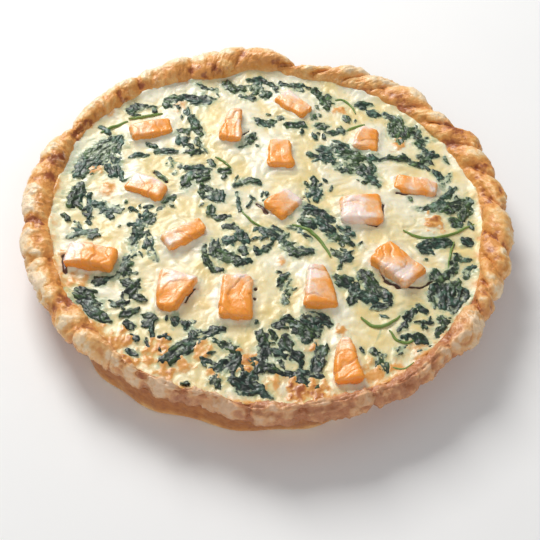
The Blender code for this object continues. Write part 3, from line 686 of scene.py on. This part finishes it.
def chunk_distance(points):
    """Signed distance in plan from each point to the nearest chunk's outline, in mm."""
    nearest = np.full(len(points), FAR)
    for x, y, length, width, turn, taper, *_ in SALMON:
        c, s = direction(turn)
        dx, dy = points[:, 0] - x, points[:, 1] - y
        u, v = dx * c + dy * s, dy * c - dx * s
        half = width / 2 * (1 + (taper - 1) * np.clip(u / length + 0.5, 0, 1))
        qx, qy = np.abs(u) - length / 2 + CORNER, np.abs(v) - half + CORNER
        away = np.hypot(np.maximum(qx, 0), np.maximum(qy, 0)) + np.minimum(np.maximum(qx, qy), 0) - CORNER
        nearest = np.minimum(nearest, away)
    return nearest


def crack_field(points):
    """How deep in a crack each plan point lies, from 0 to 1."""
    deep = np.zeros(len(points))
    bent = points + 0.5 * np.column_stack([perlin(flat(points / 3), 125), perlin(flat(points / 3), 126)])
    for width, *route in CRACKS:
        way = np.array(route, float)
        for one, two in zip(way, way[1:]):
            _, away = along_span(bent, one, two)
            deep = np.maximum(deep, ease(width * 0.75, width * 0.25, away))
    return deep


def custard_relief(points):
    """Relief of the set custard in mm above its plain surface: soft lumps, skirts and folds."""
    space = flat(points)
    drift = np.column_stack([warp(space, 14, (131, 132), shift=17), space[:, 2]])
    warped = space + 3.0 * drift
    calm = ease(-0.3, 0.4, fractal(space, 34, 161, 2))
    waves = fractal(warped, 15, 141, 2)
    puffs = np.sqrt(perlin(warped / 6.5, 145) ** 2 + 0.02) - 0.35
    crinkles = np.sqrt(perlin(warped / 2.9, 148) ** 2 + 0.01) - 0.3
    grains = fractal(warped, 2.8, 151, 2)
    skirt = fading(chunk_distance(points), SKIRT_REACH) * (0.75 + 0.6 * perlin(space / 5, 171))
    climb = fading(wall_gap(points), CLIMB_REACH) * (1 + 0.7 * perlin(space / 8, 181))
    soft = 0.6 * waves + (1.3 - 0.4 * calm) * puffs + 0.1 * (1.4 - calm) * grains
    soft += 0.5 * crinkles * ease(-0.1, 0.4, fractal(space, 22, 163, 2))
    return soft + SKIRT_HEIGHT * skirt + CLIMB_HEIGHT * climb


def browning(plan, blotch):
    """How browned each plan point is by the spots."""
    brown = np.zeros(len(plan))
    for x, y, radius, strength in BROWNED:
        away = np.hypot(plan[:, 0] - x, plan[:, 1] - y) / radius
        brown = np.maximum(brown, strength * np.clip(1.25 - away + 0.9 * blotch, 0, 1))
    return brown


def whiteness_and_glare(plan, relief):
    """How white the custard is painted: a painted highlight in patches that grow towards the back and on its
    raised parts, and its real white skirt beside the chunks.
    """
    patches = ease(-0.15, 0.45, fractal(flat(plan), 26, 211, 2) + 0.0028 * plan[:, 1])
    white_and_glare = patches * ease(-0.9, 0.5, relief)
    return np.clip(white_and_glare + 0.8 * fading(chunk_distance(plan), 2.5), 0, 1)


def greenness(plan, cover):
    """How much spinach shows through: round the leaves, and in hints of more below."""
    space = flat(plan)
    bent = space + 2.5 * fractal(space, 9, 217, 2)[:, None]
    hints = ease(0.70, 0.96, ridges(bent, 10, 218, 2))
    hints *= 0.75 * ease(-0.05, 0.35, fractal(space, 24, 219, 2))
    return np.maximum(ease(-2.6, 0.1, cover + 0.7 * fractal(space, 5, 215, 2)), hints)


def disc_points(count):
    """Square grid of count by count points laid evenly over the unit disc."""
    a, b = np.meshgrid(np.linspace(-1, 1, count), np.linspace(-1, 1, count), indexing="ij")
    wide = np.abs(a) > np.abs(b)
    r = np.where(wide, a, b)
    with np.errstate(divide="ignore", invalid="ignore"):
        phi = np.where(wide, math.pi / 4 * b / a, math.pi / 2 - math.pi / 4 * a / b)
    phi = np.nan_to_num(phi)
    return np.column_stack([(r * np.cos(phi)).ravel(), (r * np.sin(phi)).ravel()])


def closed_disc(points):
    """Points and faces of the custard's top with its side and its underside."""
    faces = grid_faces(CUSTARD_GRID, CUSTARD_GRID)
    index = np.arange(CUSTARD_GRID ** 2).reshape(CUSTARD_GRID, CUSTARD_GRID)
    loop = np.concatenate([index[:-1, 0], index[-1, :-1], index[:0:-1, -1], index[0, :0:-1]])
    low = points[loop].copy()
    low[:, :2] *= UNDERSIDE_SHARE
    low[:, 2] -= UNDERSIDE_DROP
    first, count = len(points), len(loop)
    for k, (a, b) in enumerate(zip(loop, np.roll(loop, -1))):
        here, after = first + k, first + (k + 1) % count
        faces.append((int(b), int(a), here, after))
        faces.append((after, here, first + count))
    return np.vstack([points, low, [[0, 0, CUSTARD_TOP - UNDERSIDE_DROP]]]), faces


def custard(look):
    """Set custard: curds and skirts on top, closed below, with masks for its colours."""
    unit = disc_points(CUSTARD_GRID)
    plan = unit * (wall_at(unit) - CUSTARD_GAP + WALL_BITE)[:, None]
    space = flat(plan)
    cover, _, _ = spinach_cover(plan)
    cracks = crack_field(plan)
    blotch = fractal(space, 4.5, 201, 3)
    brown = browning(plan, blotch)
    relief = custard_relief(plan)
    relief += 0.35 * ease(-2.0, 0.2, cover) * (0.6 + fractal(space, 2.4, 191, 2))
    relief += 0.9 * brown * (1 + 0.6 * blotch)
    heights = base_heights(plan) + relief - CRACK_DEPTH * cracks
    green = greenness(plan, cover) * (1 - 0.5 * brown)
    rim_brown = ease(-0.2, 0.6, fractal(space, 12, 221, 2) - 0.004 * plan[:, 1])
    rim_brown *= 0.75 * fading(wall_gap(plan), 2.2)
    # the white mask: painted highlight on raised parts and towards the back, with real white skirts by the
    # chunks
    masks = {"brown": np.clip(np.maximum(brown, rim_brown), 0, 1), "white_and_glare": whiteness_and_glare(plan, relief),
             "green": green, "relief": relief, "crack_shadow": cracks}
    points, faces = closed_disc(np.column_stack([plan, heights]))
    masks = {label: np.pad(values, (0, len(points) - len(plan))) for label, values in masks.items()}
    piece = make_piece("custard_filling", points, faces, look, masks)
    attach(piece, BODY)
    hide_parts("custard")


# Spinach

LEAF_STEP = 0.52
SUNK_LIMIT = -0.55
LEAF_REACH = 1.5
WALL_CLEAR = 0.6
UNDER_ALL = -9.0
STROKE_WARP = 0.9
STROKE_FRAY = 1.5


def stroke_reach(points, way, width):
    """Distance of each plan point from the stroke's middle line, in its half widths there."""
    nearest = np.full(len(points), FAR)
    spans = np.linalg.norm(np.diff(way, axis=0), axis=1)
    done = 0.0
    for one, two, span in zip(way, way[1:], spans):
        t, away = along_span(points, one, two)
        end = np.abs(2 * (done + t * span) / spans.sum() - 1)
        half = (width * 0.5 + 0.3) * (1 - STROKE_TAPER * end ** 3)
        nearest = np.minimum(nearest, away / half)
        done += span
    return nearest


def stroke_creases(points, space, way, seed):
    """Sharp folds that run along a stroke, from 0 to 1."""
    heading = way[-1] - way[0]
    heading /= np.linalg.norm(heading)
    u = points @ heading
    v = points @ np.array([-heading[1], heading[0]])
    folds = np.column_stack([u / 9.0, v / 3.0, np.full(len(u), seed * 1.3)])
    return ridges(folds + 0.15 * fractal(space, 5, 110, 2)[:, None], 1.0, 111, 2)


def stroke_field(points, stroke, seed):
    """Height of a crumpled stroke above the custard at plan points in mm, and its creases."""
    width, *route = stroke
    way = np.array(route, float)
    space = flat(points, 0.37 * (seed % 11))
    bent = points + warp(space, 9, (101, 103)) * STROKE_WARP
    bent += warp(space, 4.2, (105, 107), octaves=3) * min(STROKE_FRAY, width / 4)
    shape = 1.0 - stroke_reach(bent, way, width)
    crease = stroke_creases(points, space, way, seed)
    folded = 0.9 * fractal(space, 6.5, 116, 2) + 1.3 * (crease - 0.45)
    height = 0.8 * np.minimum(shape, 0.4) + 0.45 + np.where(folded > 0, 0.9 * folded, 0.3 * folded)
    height += 0.12 * fractal(space, 1.9, 118, 2)
    height -= 0.45 * ease(0.0, 0.5, fractal(space * [1, 1, 0], 26, 119, 2))
    height -= 1.5 * ease(0.1, -0.45, shape)
    return np.where(shape < -0.9, UNDER_ALL, height), crease


def near_stroke(points, stroke):
    """Which plan points lie in the box round a stroke."""
    way = np.array(stroke[1:], float)
    margin = stroke[0] * 0.9 + 2.5
    return np.flatnonzero(((points > way.min(0) - margin) & (points < way.max(0) + margin)).all(axis=1))


def specks():
    """Short seeded strokes of spinach round the large ones."""
    draw = random.Random(SPECK_SEED)
    rows = []
    for _ in range(SPECKS):
        width, *route = draw.choice(STROKES)
        x, y = draw.choice(route)
        turn = draw.uniform(0, 2 * math.pi)
        away = width / 2 + draw.uniform(1.0, 6.5)
        x, y = x + away * math.cos(turn), y + away * math.sin(turn)
        lie = draw.uniform(0, math.pi)
        half = draw.uniform(0.6, 3.0)
        size = draw.uniform(1.1, 2.3)
        if math.hypot(x, y) < WALL_RADIUS - SPECK_CLEAR:
            rows.append((size, (x - half * math.cos(lie), y - half * math.sin(lie)),
                         (x + half * math.cos(lie), y + half * math.sin(lie))))
    return rows


def spinach_cover(points):
    """Height of the spinach above the custard at plan points, its creases and its tone."""
    cover = np.full(len(points), UNDER_ALL)
    crease = np.zeros(len(points))
    tone = np.zeros(len(points))
    for seed, stroke in enumerate(list(STROKES) + specks()):
        near = near_stroke(points, stroke)
        if len(near):
            height, folds = stroke_field(points[near], stroke, seed)
            higher = height > cover[near]
            cover[near[higher]] = height[higher]
            crease[near[higher]] = folds[higher]
            tone[near[higher]] = random.Random(seed).random()
    return cover, crease, tone


def leaf_boxes():
    """Middle, axes and half sizes in mm of every leaf solid, from its own mesh."""
    boxes = []
    for number in range(1, 100):
        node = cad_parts.get(f"leaf_{number:02d}")
        if node is None:
            return boxes
        plan = np.array([list(vert.co)[:2] for vert in node.data.vertices]) / MM
        middle = plan.mean(0)
        _, _, axes = np.linalg.svd(plan - middle, full_matrices=False)
        local = (plan - middle) @ axes.T
        boxes.append((middle, axes, np.abs(local).max(0)))
    return boxes


def nearest_leaf(middles, boxes):
    """Number of the leaf solid that each plan point is nearest to, or -1 away from all."""
    owner = np.full(len(middles), -1)
    best = np.full(len(middles), LEAF_REACH)
    for k, (middle, axes, half) in enumerate(boxes):
        local = np.abs((middles - middle) @ axes.T) / half
        reach = np.sqrt((local ** 2).sum(1))
        nearer = reach < best
        owner[nearer] = k
        best[nearer] = reach[nearer]
    return owner


def spinach(look):
    """Crumpled spinach: a piece for every leaf solid, and all that lies between as one more."""
    span = np.arange(-WALL_RADIUS, WALL_RADIUS + LEAF_STEP, LEAF_STEP)
    x, y = np.meshgrid(span, span, indexing="ij")
    plan = np.column_stack([x.ravel(), y.ravel()])
    height, crease, tone = spinach_cover(plan)
    away, gap = chunk_distance(plan), wall_gap(plan)
    height -= 2.5 * fading(away, 1.0) + 3.0 * fading(gap, 1.0)
    keep = (height > SUNK_LIMIT) & (gap > WALL_CLEAR) & (away > 0.0)
    quads = np.array(grid_faces(len(span), len(span)))
    quads = quads[keep[quads].all(axis=1)][:, ::-1]
    boxes = leaf_boxes()
    owner = nearest_leaf(plan[quads].mean(axis=1), boxes)
    for k in range(-1, len(boxes)):
        used, faces = np.unique(quads[owner == k], return_inverse=True)
        if not len(used):
            raise ValueError(f"no spinach at leaf {k + 1}")
        here = plan[used]
        slide = warp(flat(here), 3.2, (231, 232), shift=9) * 0.7
        low = base_heights(here) + 0.75 * custard_relief(here) + height[used]
        # painted shade: the leaves are darker towards the front, added to their random tone
        shade = tone[used] - 1.5 * ease(10, -90, here[:, 1])
        name = "spinach_shreds" if k < 0 else f"spinach_leaf_{k + 1:02d}"
        points = np.column_stack([here + slide, low])
        # the fold crests steer painted light on the crests and painted shade in the folds
        masks = {"lift": height[used], "crest_shading": crease[used], "tone": shade}
        piece = make_piece(name, points, faces.reshape(-1, 4).tolist(), look, masks)
        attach(piece, BODY)
        if k >= 0:
            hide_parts(f"leaf_{k + 1:02d}")


# Stems

STEM_RADIUS = 0.95
STEM_SIDES = 10
STEM_STEPS = 26
STEM_RISE = 0.35


def stem_tube(number):
    """Points in rings round one stem that bends through its three points."""
    way = np.array(STEMS[number], float)
    t = np.linspace(0, 1, STEM_STEPS)[:, None]
    bend = 2 * way[1] - (way[0] + way[2]) / 2
    plan = (1 - t) ** 2 * way[0] + 2 * t * (1 - t) * bend + t ** 2 * way[2]
    one, two = perlin(flat(plan / 6, number), 251), perlin(flat(plan / 6, number + 9), 252)
    plan += 0.5 * np.column_stack([one, two])
    rise = STEM_RISE + 0.5 * perlin(flat(plan / 9, number + 20), 253)
    z = base_heights(plan) + 0.8 * custard_relief(plan) + rise
    heading = np.gradient(plan, axis=0)
    heading /= np.linalg.norm(heading, axis=1)[:, None]
    side = np.column_stack([-heading[:, 1], heading[:, 0]])
    thick = STEM_RADIUS * (1 - 0.55 * np.abs(2 * t[:, 0] - 1) ** 3) * (0.9 + 0.2 * math.cos(number))
    rings = []
    for j in range(STEM_SIDES):
        turn = 2 * math.pi * j / STEM_SIDES
        out = plan + side * (thick * math.cos(turn))[:, None]
        rings.append(np.column_stack([out, z + thick * math.sin(turn)]))
    return np.concatenate(rings)


def stems(look):
    """Green stems lying half sunk in the custard, as one piece."""
    count = STEM_SIDES * STEM_STEPS
    tube = np.array(grid_faces(STEM_SIDES, STEM_STEPS, wrap=True))[:, ::-1]
    points = np.concatenate([stem_tube(k) for k in range(len(STEMS))])
    faces = np.concatenate([tube + k * count for k in range(len(STEMS))]).tolist()
    piece = make_piece("spinach_stems", points, faces, look, {})
    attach(piece, BODY)


# Salmon

CHUNK_VOXEL = 0.55 * MM
CHUNK_WELD = 0.1 * MM
CHUNK_SMOOTHING = 12
FLAKE_PITCH = 6.0
FLAKE_BOW = 0.045
FLAKE_LEAN = 0.35
FLAKE_DRAWS = 200
SEAM_WIDTH = 0.075
# Direction of the light whose glare is painted on the chunks' faces
GLARE_WAY = (-0.37, 0.50, 0.78)


def fine_copy(name, solid):
    """Object with the mesh of a solid made fine and a little rounder."""
    piece = placed(name, solid.data.copy())
    weld = piece.modifiers.new("weld", "WELD")
    weld.merge_threshold = CHUNK_WELD
    fine = piece.modifiers.new("fine", "REMESH")
    fine.mode = "VOXEL"
    fine.voxel_size = CHUNK_VOXEL
    soft = piece.modifiers.new("soft", "SMOOTH")
    soft.factor = 0.5
    soft.iterations = CHUNK_SMOOTHING
    graph = bpy.context.evaluated_depsgraph_get()
    fresh = bpy.data.meshes.new_from_object(piece.evaluated_get(graph))
    piece.modifiers.clear()
    piece.data = fresh
    return piece


def vertex_vectors(mesh, field):
    """The places or the normals of a mesh's vertices."""
    values = np.empty(len(mesh.vertices) * 3, dtype=np.float32)
    mesh.vertices.foreach_get(field, values)
    return values.reshape(-1, 3).astype(float)


def flake_phase(place, lie, space):
    """Which flake each point of a chunk lies in, counted across the flakes."""
    u, v, w = place
    c, s = direction(lie)
    bow = FLAKE_BOW * (u * c - v * s) ** 2
    return (u * s + v * c + FLAKE_LEAN * w + bow) / FLAKE_PITCH + 0.5 * fractal(space, 10, 301, 2)


def chunk_relief(number, space, phase, seam):
    """How far a chunk's points stand out in mm: bulges, torn bits, and flakes parted by seams."""
    steps = np.random.default_rng(number).uniform(-0.5, 0.5, FLAKE_DRAWS)
    step = steps[np.floor(phase).astype(int) % FLAKE_DRAWS]
    torn = ridges(space, 2.4, 321, 2) - 0.5
    return 0.8 * fractal(space, 11, 309, 2) - 0.4 * seam + step * (1 - seam) + 0.12 * torn


def chunk(number, look):
    """One salmon chunk: its solid made fine, parted into flakes, orange and pale, with painted glare paling
    the faces turned to the light.
    """
    x, y, length, _, turn, _, orange, way, lie = SALMON[number]
    name = f"salmon_{number + 1:02d}"
    piece = fine_copy(f"salmon_chunk_{number + 1:02d}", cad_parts[name])
    co = vertex_vectors(piece.data, "co") / MM
    normal = vertex_vectors(piece.data, "normal")
    space = co + number * 40.0
    c, s = direction(turn)
    dx, dy, w = co[:, 0] - x, co[:, 1] - y, co[:, 2] - CUSTARD_TOP
    phase = flake_phase((dx * c + dy * s, dy * c - dx * s, w), lie, space)
    part = phase - np.floor(phase)
    seam = bell(np.minimum(part, 1 - part), SEAM_WIDTH) * ease(-0.35, 0.25, fractal(space, 7, 305, 2))
    lumps = fractal(space, 4.5, 311, 3)
    push = chunk_relief(number, space, phase, seam) + 0.14 * lumps
    # painted glare: faces turned to the light are painted paler below
    lit = ease(0.25, 0.95, normal @ np.array(GLARE_WAY))
    co += normal * (push * ease(-3.0, 0.5, w))[:, None]
    piece.data.vertices.foreach_set("co", (co * MM).ravel())
    way_c, way_s = direction(way)
    grade = ((co[:, 0] - x) * way_c + (co[:, 1] - y) * way_s) / (length / 2)
    bands = np.sin(2 * math.pi * (phase * 0.5 + 0.15 * lumps))
    # real orange grade, patches and flake bands, less a painted glare on the lit faces
    flesh_and_glare = orange + 0.34 + 0.55 * grade + 0.36 * fractal(space, 12, 331, 2) + 0.14 * bands - 0.44 * lit
    foot = 1 - ease(-0.2, 1.2, w + 0.5 * lumps)
    dress(piece.data, look, {"flesh_and_glare": np.clip(flesh_and_glare, 0, 1), "seam": seam, "foot": foot})
    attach(piece, BODY)
    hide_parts(name)


# Materials

class Graph:
    """Small helper that adds and joins the nodes of one material."""

    def __init__(self, name):
        self.material = bpy.data.materials.new(name)
        self.material.use_nodes = True
        self.tree = self.material.node_tree
        self.shader = self.tree.nodes["Principled BSDF"]
        self.place = self.node("ShaderNodeTexCoord").outputs["Object"]

    def node(self, kind, **values):
        """New node with its settings."""
        made = self.tree.nodes.new(kind)
        for key, value in values.items():
            setattr(made, key, value)
        return made

    def feed(self, value, socket):
        """Set a socket to a number or a colour, or join an output to it."""
        if isinstance(value, (int, float)):
            socket.default_value = value
        elif isinstance(value, tuple):
            socket.default_value = (*value, 1.0)
        else:
            self.tree.links.new(value, socket)

    def mask(self, name):
        """Mask stored on the mesh."""
        return self.node("ShaderNodeAttribute", attribute_name=name).outputs["Fac"]

    def noise(self, scale, detail=3.0, rough=0.55):
        """Cloudy noise, its scale in counts a metre."""
        made = self.node("ShaderNodeTexNoise")
        self.feed(self.place, made.inputs["Vector"])
        self.feed(scale, made.inputs["Scale"])
        self.feed(detail, made.inputs["Detail"])
        self.feed(rough, made.inputs["Roughness"])
        return made.outputs["Fac"]

    def cells(self, scale):
        """Distance to the middles of scattered cells."""
        made = self.node("ShaderNodeTexVoronoi", feature="F1")
        self.feed(self.place, made.inputs["Vector"])
        self.feed(scale, made.inputs["Scale"])
        return made.outputs["Distance"]

    def maths(self, operation, a, b):
        """One sum or product."""
        made = self.node("ShaderNodeMath", operation=operation)
        self.feed(a, made.inputs[0])
        self.feed(b, made.inputs[1])
        return made.outputs[0]

    def span(self, value, low, high, to_low=0.0, to_high=1.0):
        """Smooth step of a value between two limits."""
        made = self.node("ShaderNodeMapRange", interpolation_type="SMOOTHSTEP")
        self.feed(value, made.inputs["Value"])
        for key, number in (("From Min", low), ("From Max", high), ("To Min", to_low), ("To Max", to_high)):
            made.inputs[key].default_value = number
        return made.outputs[0]

    def patchy(self, scale, low, high, detail=2):
        """Value that goes from low to high in patches."""
        return self.span(self.noise(scale, detail), 0.3, 0.7, low, high)

    def mottled(self, value, scale, amount):
        """Value raised and lowered in patches, up to the amount each way."""
        return self.maths("ADD", value, self.patchy(scale, -amount, amount, 4))

    def mix(self, factor, one, two):
        """Colour between two."""
        made = self.node("ShaderNodeMix", data_type="RGBA")
        self.feed(factor, made.inputs[0])
        self.feed(one, made.inputs[6])
        self.feed(two, made.inputs[7])
        return made.outputs[2]

    def translucent(self, weight, scale, radius=None):
        """Light that enters and leaves again, over the scale in metres."""
        self.shader.inputs["Subsurface Weight"].default_value = weight
        self.shader.inputs["Subsurface Scale"].default_value = scale
        if radius:
            self.shader.inputs["Subsurface Radius"].default_value = radius

    def gloss(self, weight, roughness):
        """Thin greasy film on top."""
        self.shader.inputs["Coat Weight"].default_value = weight
        self.shader.inputs["Coat Roughness"].default_value = roughness

    def finish(self, colour, roughness, bump, strength, distance):
        """Join the colour, the roughness and the fine relief to the shader."""
        self.feed(colour, self.shader.inputs["Base Color"])
        self.feed(roughness, self.shader.inputs["Roughness"])
        made = self.node("ShaderNodeBump")
        self.feed(strength, made.inputs["Strength"])
        self.feed(distance, made.inputs["Distance"])
        self.feed(bump, made.inputs["Height"])
        self.feed(made.outputs["Normal"], self.shader.inputs["Normal"])
        return self.material


def pastry_look():
    """Golden pastry with browned patches, painted highlight on its pale raised tops, painted shade in
    creases, on the inner slope and lower wall, and a front painted rosier and darker as shade.
    """
    cream, gold, brown = (0.96, 0.74, 0.45), (0.91, 0.51, 0.17), (0.78, 0.33, 0.072)
    shaded_rose, deeper_shaded_rose, wall_bake_and_shade = (0.62, 0.29, 0.165), (0.46, 0.17, 0.075), (0.46, 0.155, 0.036)
    scorch_and_shade, pale_highlight_cream = (0.36, 0.09, 0.02), (0.94, 0.74, 0.57)
    g = Graph("baked_pastry")
    toast_and_shade = g.mottled(g.mask("toast_and_shade"), 330, 0.16)
    # the toast mask holds real toasting and painted shade: cream where it is low is partly painted highlight,
    # brown where high partly painted shade
    colour = g.mix(g.span(toast_and_shade, 0.05, 0.50), cream, gold)
    colour = g.mix(g.span(toast_and_shade, 0.45, 0.90), colour, brown)
    # painted shade: the front stretch painted rosier, and darker still where the toast mask holds shade
    colour = g.mix(g.maths("MULTIPLY", g.mask("shaded_front"), 0.6), colour, shaded_rose)
    dark = g.maths("MULTIPLY", g.mask("shaded_front"), g.span(toast_and_shade, 0.45, 1.0, 0.0, 0.65))
    colour = g.mix(dark, colour, deeper_shaded_rose)
    # lower wall painted darker: painted shade under the rim together with its browner bake
    low = g.maths("MULTIPLY", g.mask("wall"), g.span(toast_and_shade, 0.4, 1.0, 0.3, 0.8))
    colour = g.mix(low, colour, wall_bake_and_shade)
    # darkest where the toast mask peaks: real scorch and deep painted shade
    colour = g.mix(g.span(toast_and_shade, 0.92, 1.40), colour, scorch_and_shade)
    # painted highlight: pale cream on the raised tops
    pale_and_highlight = g.maths("MULTIPLY", g.mask("pale"), g.span(g.noise(600, 3), 0.3, 0.6, 0.35, 0.9))
    colour = g.mix(pale_and_highlight, colour, pale_highlight_cream)
    rough = g.patchy(420, 0.34, 0.58)
    relief = g.maths("ADD", g.noise(1100, 5), g.maths("MULTIPLY", g.cells(620), 0.6))
    g.translucent(0.06, 0.002, (1.0, 0.5, 0.25))
    g.gloss(0.25, 0.3)
    return g.finish(colour, rough, relief, 0.45, 0.0007)


def custard_look():
    """Pale yellow custard: painted highlight and white skirts, painted shade in hollows and cracks, green
    over spinach, browned in spots.
    """
    egg, cream, white_and_glare = (0.83, 0.66, 0.29), (0.87, 0.78, 0.49), (0.88, 0.84, 0.65)
    hollow_shade, green = (0.79, 0.61, 0.25), (0.33, 0.45, 0.27)
    golden, burnt, crack_shadow = (0.77, 0.37, 0.09), (0.40, 0.11, 0.026), (0.10, 0.035, 0.018)
    g = Graph("set_custard")
    colour = g.mix(g.span(g.noise(60, 4), 0.35, 0.65), egg, cream)
    # painted highlight: whiter on raised parts and towards the back, besides the real white skirts
    colour = g.mix(g.mask("white_and_glare"), colour, white_and_glare)
    # painted shade: darker yellow in the low parts of the relief
    colour = g.mix(g.span(g.mask("relief"), -0.8, 0.0, 0.5, 0.0), colour, hollow_shade)
    showing = g.maths("MULTIPLY", g.mask("green"), g.span(g.noise(330, 4), 0.35, 0.65, 0.30, 0.85))
    colour = g.mix(showing, colour, green)
    brown = g.mottled(g.mask("brown"), 300, 0.14)
    colour = g.mix(g.span(brown, 0.05, 0.60), colour, golden)
    colour = g.mix(g.span(brown, 0.60, 1.1), colour, burnt)
    # painted shadow: near black in the cracks beside the chunks
    colour = g.mix(g.span(g.mask("crack_shadow"), 0.3, 0.8), colour, crack_shadow)
    rough = g.patchy(260, 0.3, 0.5, 3)
    relief = g.maths("ADD", g.noise(420, 3), g.maths("MULTIPLY", g.noise(1300, 3), 0.25))
    g.translucent(0.25, 0.003, (1.0, 0.75, 0.4))
    g.gloss(0.2, 0.3)
    return g.finish(colour, rough, relief, 0.2, 0.0009)


def salmon_look():
    """Cooked salmon: orange that pales to pink, partly as painted glare on the faces turned to the light,
    with lighter seams and foot.
    """
    pink, salmon, orange = (0.98, 0.78, 0.69), (1.0, 0.54, 0.26), (1.0, 0.36, 0.045)
    fat, foot = (0.95, 0.66, 0.46), (0.90, 0.60, 0.46)
    g = Graph("cooked_salmon")
    # the mask holds the real orange grade and a painted glare that pales the lit faces to pink
    flesh_and_glare = g.mottled(g.mask("flesh_and_glare"), 240, 0.14)
    colour = g.mix(g.span(flesh_and_glare, 0.05, 0.50), pink, salmon)
    colour = g.mix(g.span(flesh_and_glare, 0.40, 0.90), colour, orange)
    colour = g.mix(g.maths("MULTIPLY", g.mask("seam"), 0.22), colour, fat)
    colour = g.mix(g.maths("MULTIPLY", g.mask("foot"), 0.55), colour, foot)
    rough = g.patchy(500, 0.26, 0.46)
    g.translucent(0.3, 0.004, (1.0, 0.45, 0.2))
    g.gloss(0.22, 0.25)
    return g.finish(colour, rough, g.noise(1100, 4), 0.25, 0.0006)


def spinach_look():
    """Wilted spinach: painted near-black shade in its folds, painted light on the crests, milky film at its
    low edges and milky streaks that are partly painted glare.
    """
    deep, blue_leaf, green_leaf = (0.004, 0.010, 0.007), (0.020, 0.055, 0.034), (0.032, 0.068, 0.018)
    blue_pale, green_pale = (0.10, 0.21, 0.155), (0.14, 0.24, 0.085)
    milky_edge, milky_film_and_glare = (0.48, 0.57, 0.36), (0.44, 0.58, 0.47)
    g = Graph("wilted_spinach")
    # painted light on the fold crests and painted shade in the folds, with random tone and the front's
    # painted shade
    painted_crest_light = g.span(g.mask("crest_shading"), 0.25, 0.95, 0.0, 0.6)
    tone = g.maths("ADD", painted_crest_light, g.span(g.noise(300, 5, 0.6), 0.36, 0.64, -0.2, 0.45))
    tone = g.maths("ADD", tone, g.maths("MULTIPLY", g.mask("tone"), 0.15))
    hue = g.span(g.noise(45, 2), 0.42, 0.58)
    # near black where the tone is low: dark leaf and painted shade; the pale greens: painted light on the
    # crests
    colour = g.mix(g.span(tone, 0.05, 0.65), deep, g.mix(hue, blue_leaf, green_leaf))
    colour = g.mix(g.span(tone, 0.6, 1.15), colour, g.mix(hue, blue_pale, green_pale))
    film = g.mottled(g.mask("lift"), 300, 0.45)
    colour = g.mix(g.span(film, -0.1, 0.62, 0.9, 0.0), colour, milky_edge)
    # milky streaks: partly custard film, partly a painted glare of the light on the wet leaves
    colour = g.mix(g.span(g.noise(210, 4, 0.6), 0.57, 0.72, 0.0, 0.5), colour, milky_film_and_glare)
    rough = g.patchy(500, 0.36, 0.58)
    g.gloss(0.12, 0.35)
    return g.finish(colour, rough, g.noise(700, 3), 0.25, 0.0005)


def stem_look():
    """Fresh green stems."""
    g = Graph("spinach_stem")
    colour = g.mix(g.noise(150, 3), (0.10, 0.20, 0.035), (0.26, 0.38, 0.09))
    rough = g.patchy(500, 0.25, 0.45)
    g.translucent(0.15, 0.002)
    return g.finish(colour, rough, g.noise(900, 3), 0.3, 0.0005)


def floor_look():
    """Plain pale floor."""
    g = Graph("pale_floor")
    colour = g.mix(g.noise(6, 2), (0.90, 0.90, 0.90), (0.93, 0.93, 0.92))
    rough = g.patchy(12, 0.6, 0.7)
    return g.finish(colour, rough, g.noise(60, 2), 0.02, 0.0005)


# Camera, light and floor

# Lamps: direction from the pie, distance and side in metres, power in watts, colour
WINDOW = ((-0.50, 0.85, 0.85), 1.6, 0.7, 24, (1.0, 0.985, 0.96))
FILL = ((0.2, -1.0, 0.7), 1.8, 1.4, 7, (1.0, 0.97, 0.94))
ROOM_COLOUR = (0.95, 0.97, 1.0, 1.0)
ROOM_LIGHT = 0.33
GROUND_HALF = 3.0
GROUND_DROP = 0.0002


def camera():
    """Camera at the photo's angle, rolled a little."""
    data = bpy.data.cameras.new("camera")
    data.sensor_width = 36
    data.angle = math.radians(CAMERA_FIELD)
    data.clip_start = 0.01
    piece = placed("camera", data)
    up = math.radians(CAMERA_ELEVATION)
    back = Vector((0, -math.cos(up), math.sin(up)))
    roll = math.radians(CAMERA_ROLL)
    level, rise = Vector((1, 0, 0)), Vector((0, math.sin(up), math.cos(up)))
    right = level * math.cos(roll) + rise * math.sin(roll)
    top = rise * math.cos(roll) - level * math.sin(roll)
    eye = Vector(CAMERA_AIM) * MM + back * CAMERA_DISTANCE
    piece.matrix_world = Matrix.Translation(eye) @ Matrix((right, top, back)).transposed().to_4x4()
    bpy.context.scene.camera = piece


def lamp(name, way, distance, side, power, colour):
    """Square lamp that faces the middle of the pie."""
    data = bpy.data.lights.new(name, "AREA")
    data.size = side
    data.energy = power
    data.color = colour
    piece = placed(name, data)
    way = Vector(way).normalized()
    piece.location = way * distance
    piece.rotation_euler = way.to_track_quat("Z", "Y").to_euler()


def floor():
    """Wide flat floor just under the pie."""
    bm = bmesh.new()
    bmesh.ops.create_grid(bm, x_segments=8, y_segments=8, size=GROUND_HALF)
    mesh = bpy.data.meshes.new("floor")
    bm.to_mesh(mesh)
    bm.free()
    piece = placed("floor", mesh)
    mesh.materials.append(floor_look())
    piece.location.z = -GROUND_DROP


def light():
    """Large window light from behind on the left, and soft fill all round."""
    lamp("window", *WINDOW)
    lamp("fill", *FILL)
    world = bpy.data.worlds.new("room")
    world.use_nodes = True
    world.node_tree.nodes["Background"].inputs["Color"].default_value = ROOM_COLOUR
    world.node_tree.nodes["Background"].inputs["Strength"].default_value = ROOM_LIGHT
    bpy.context.scene.world = world
    bpy.context.scene.view_settings.view_transform = "Standard"


camera()
floor()
light()
crust(pastry_look())
custard(custard_look())
fish = salmon_look()
for chunk_number in range(len(SALMON)):
    chunk(chunk_number, fish)
spinach(spinach_look())
stems(stem_look())
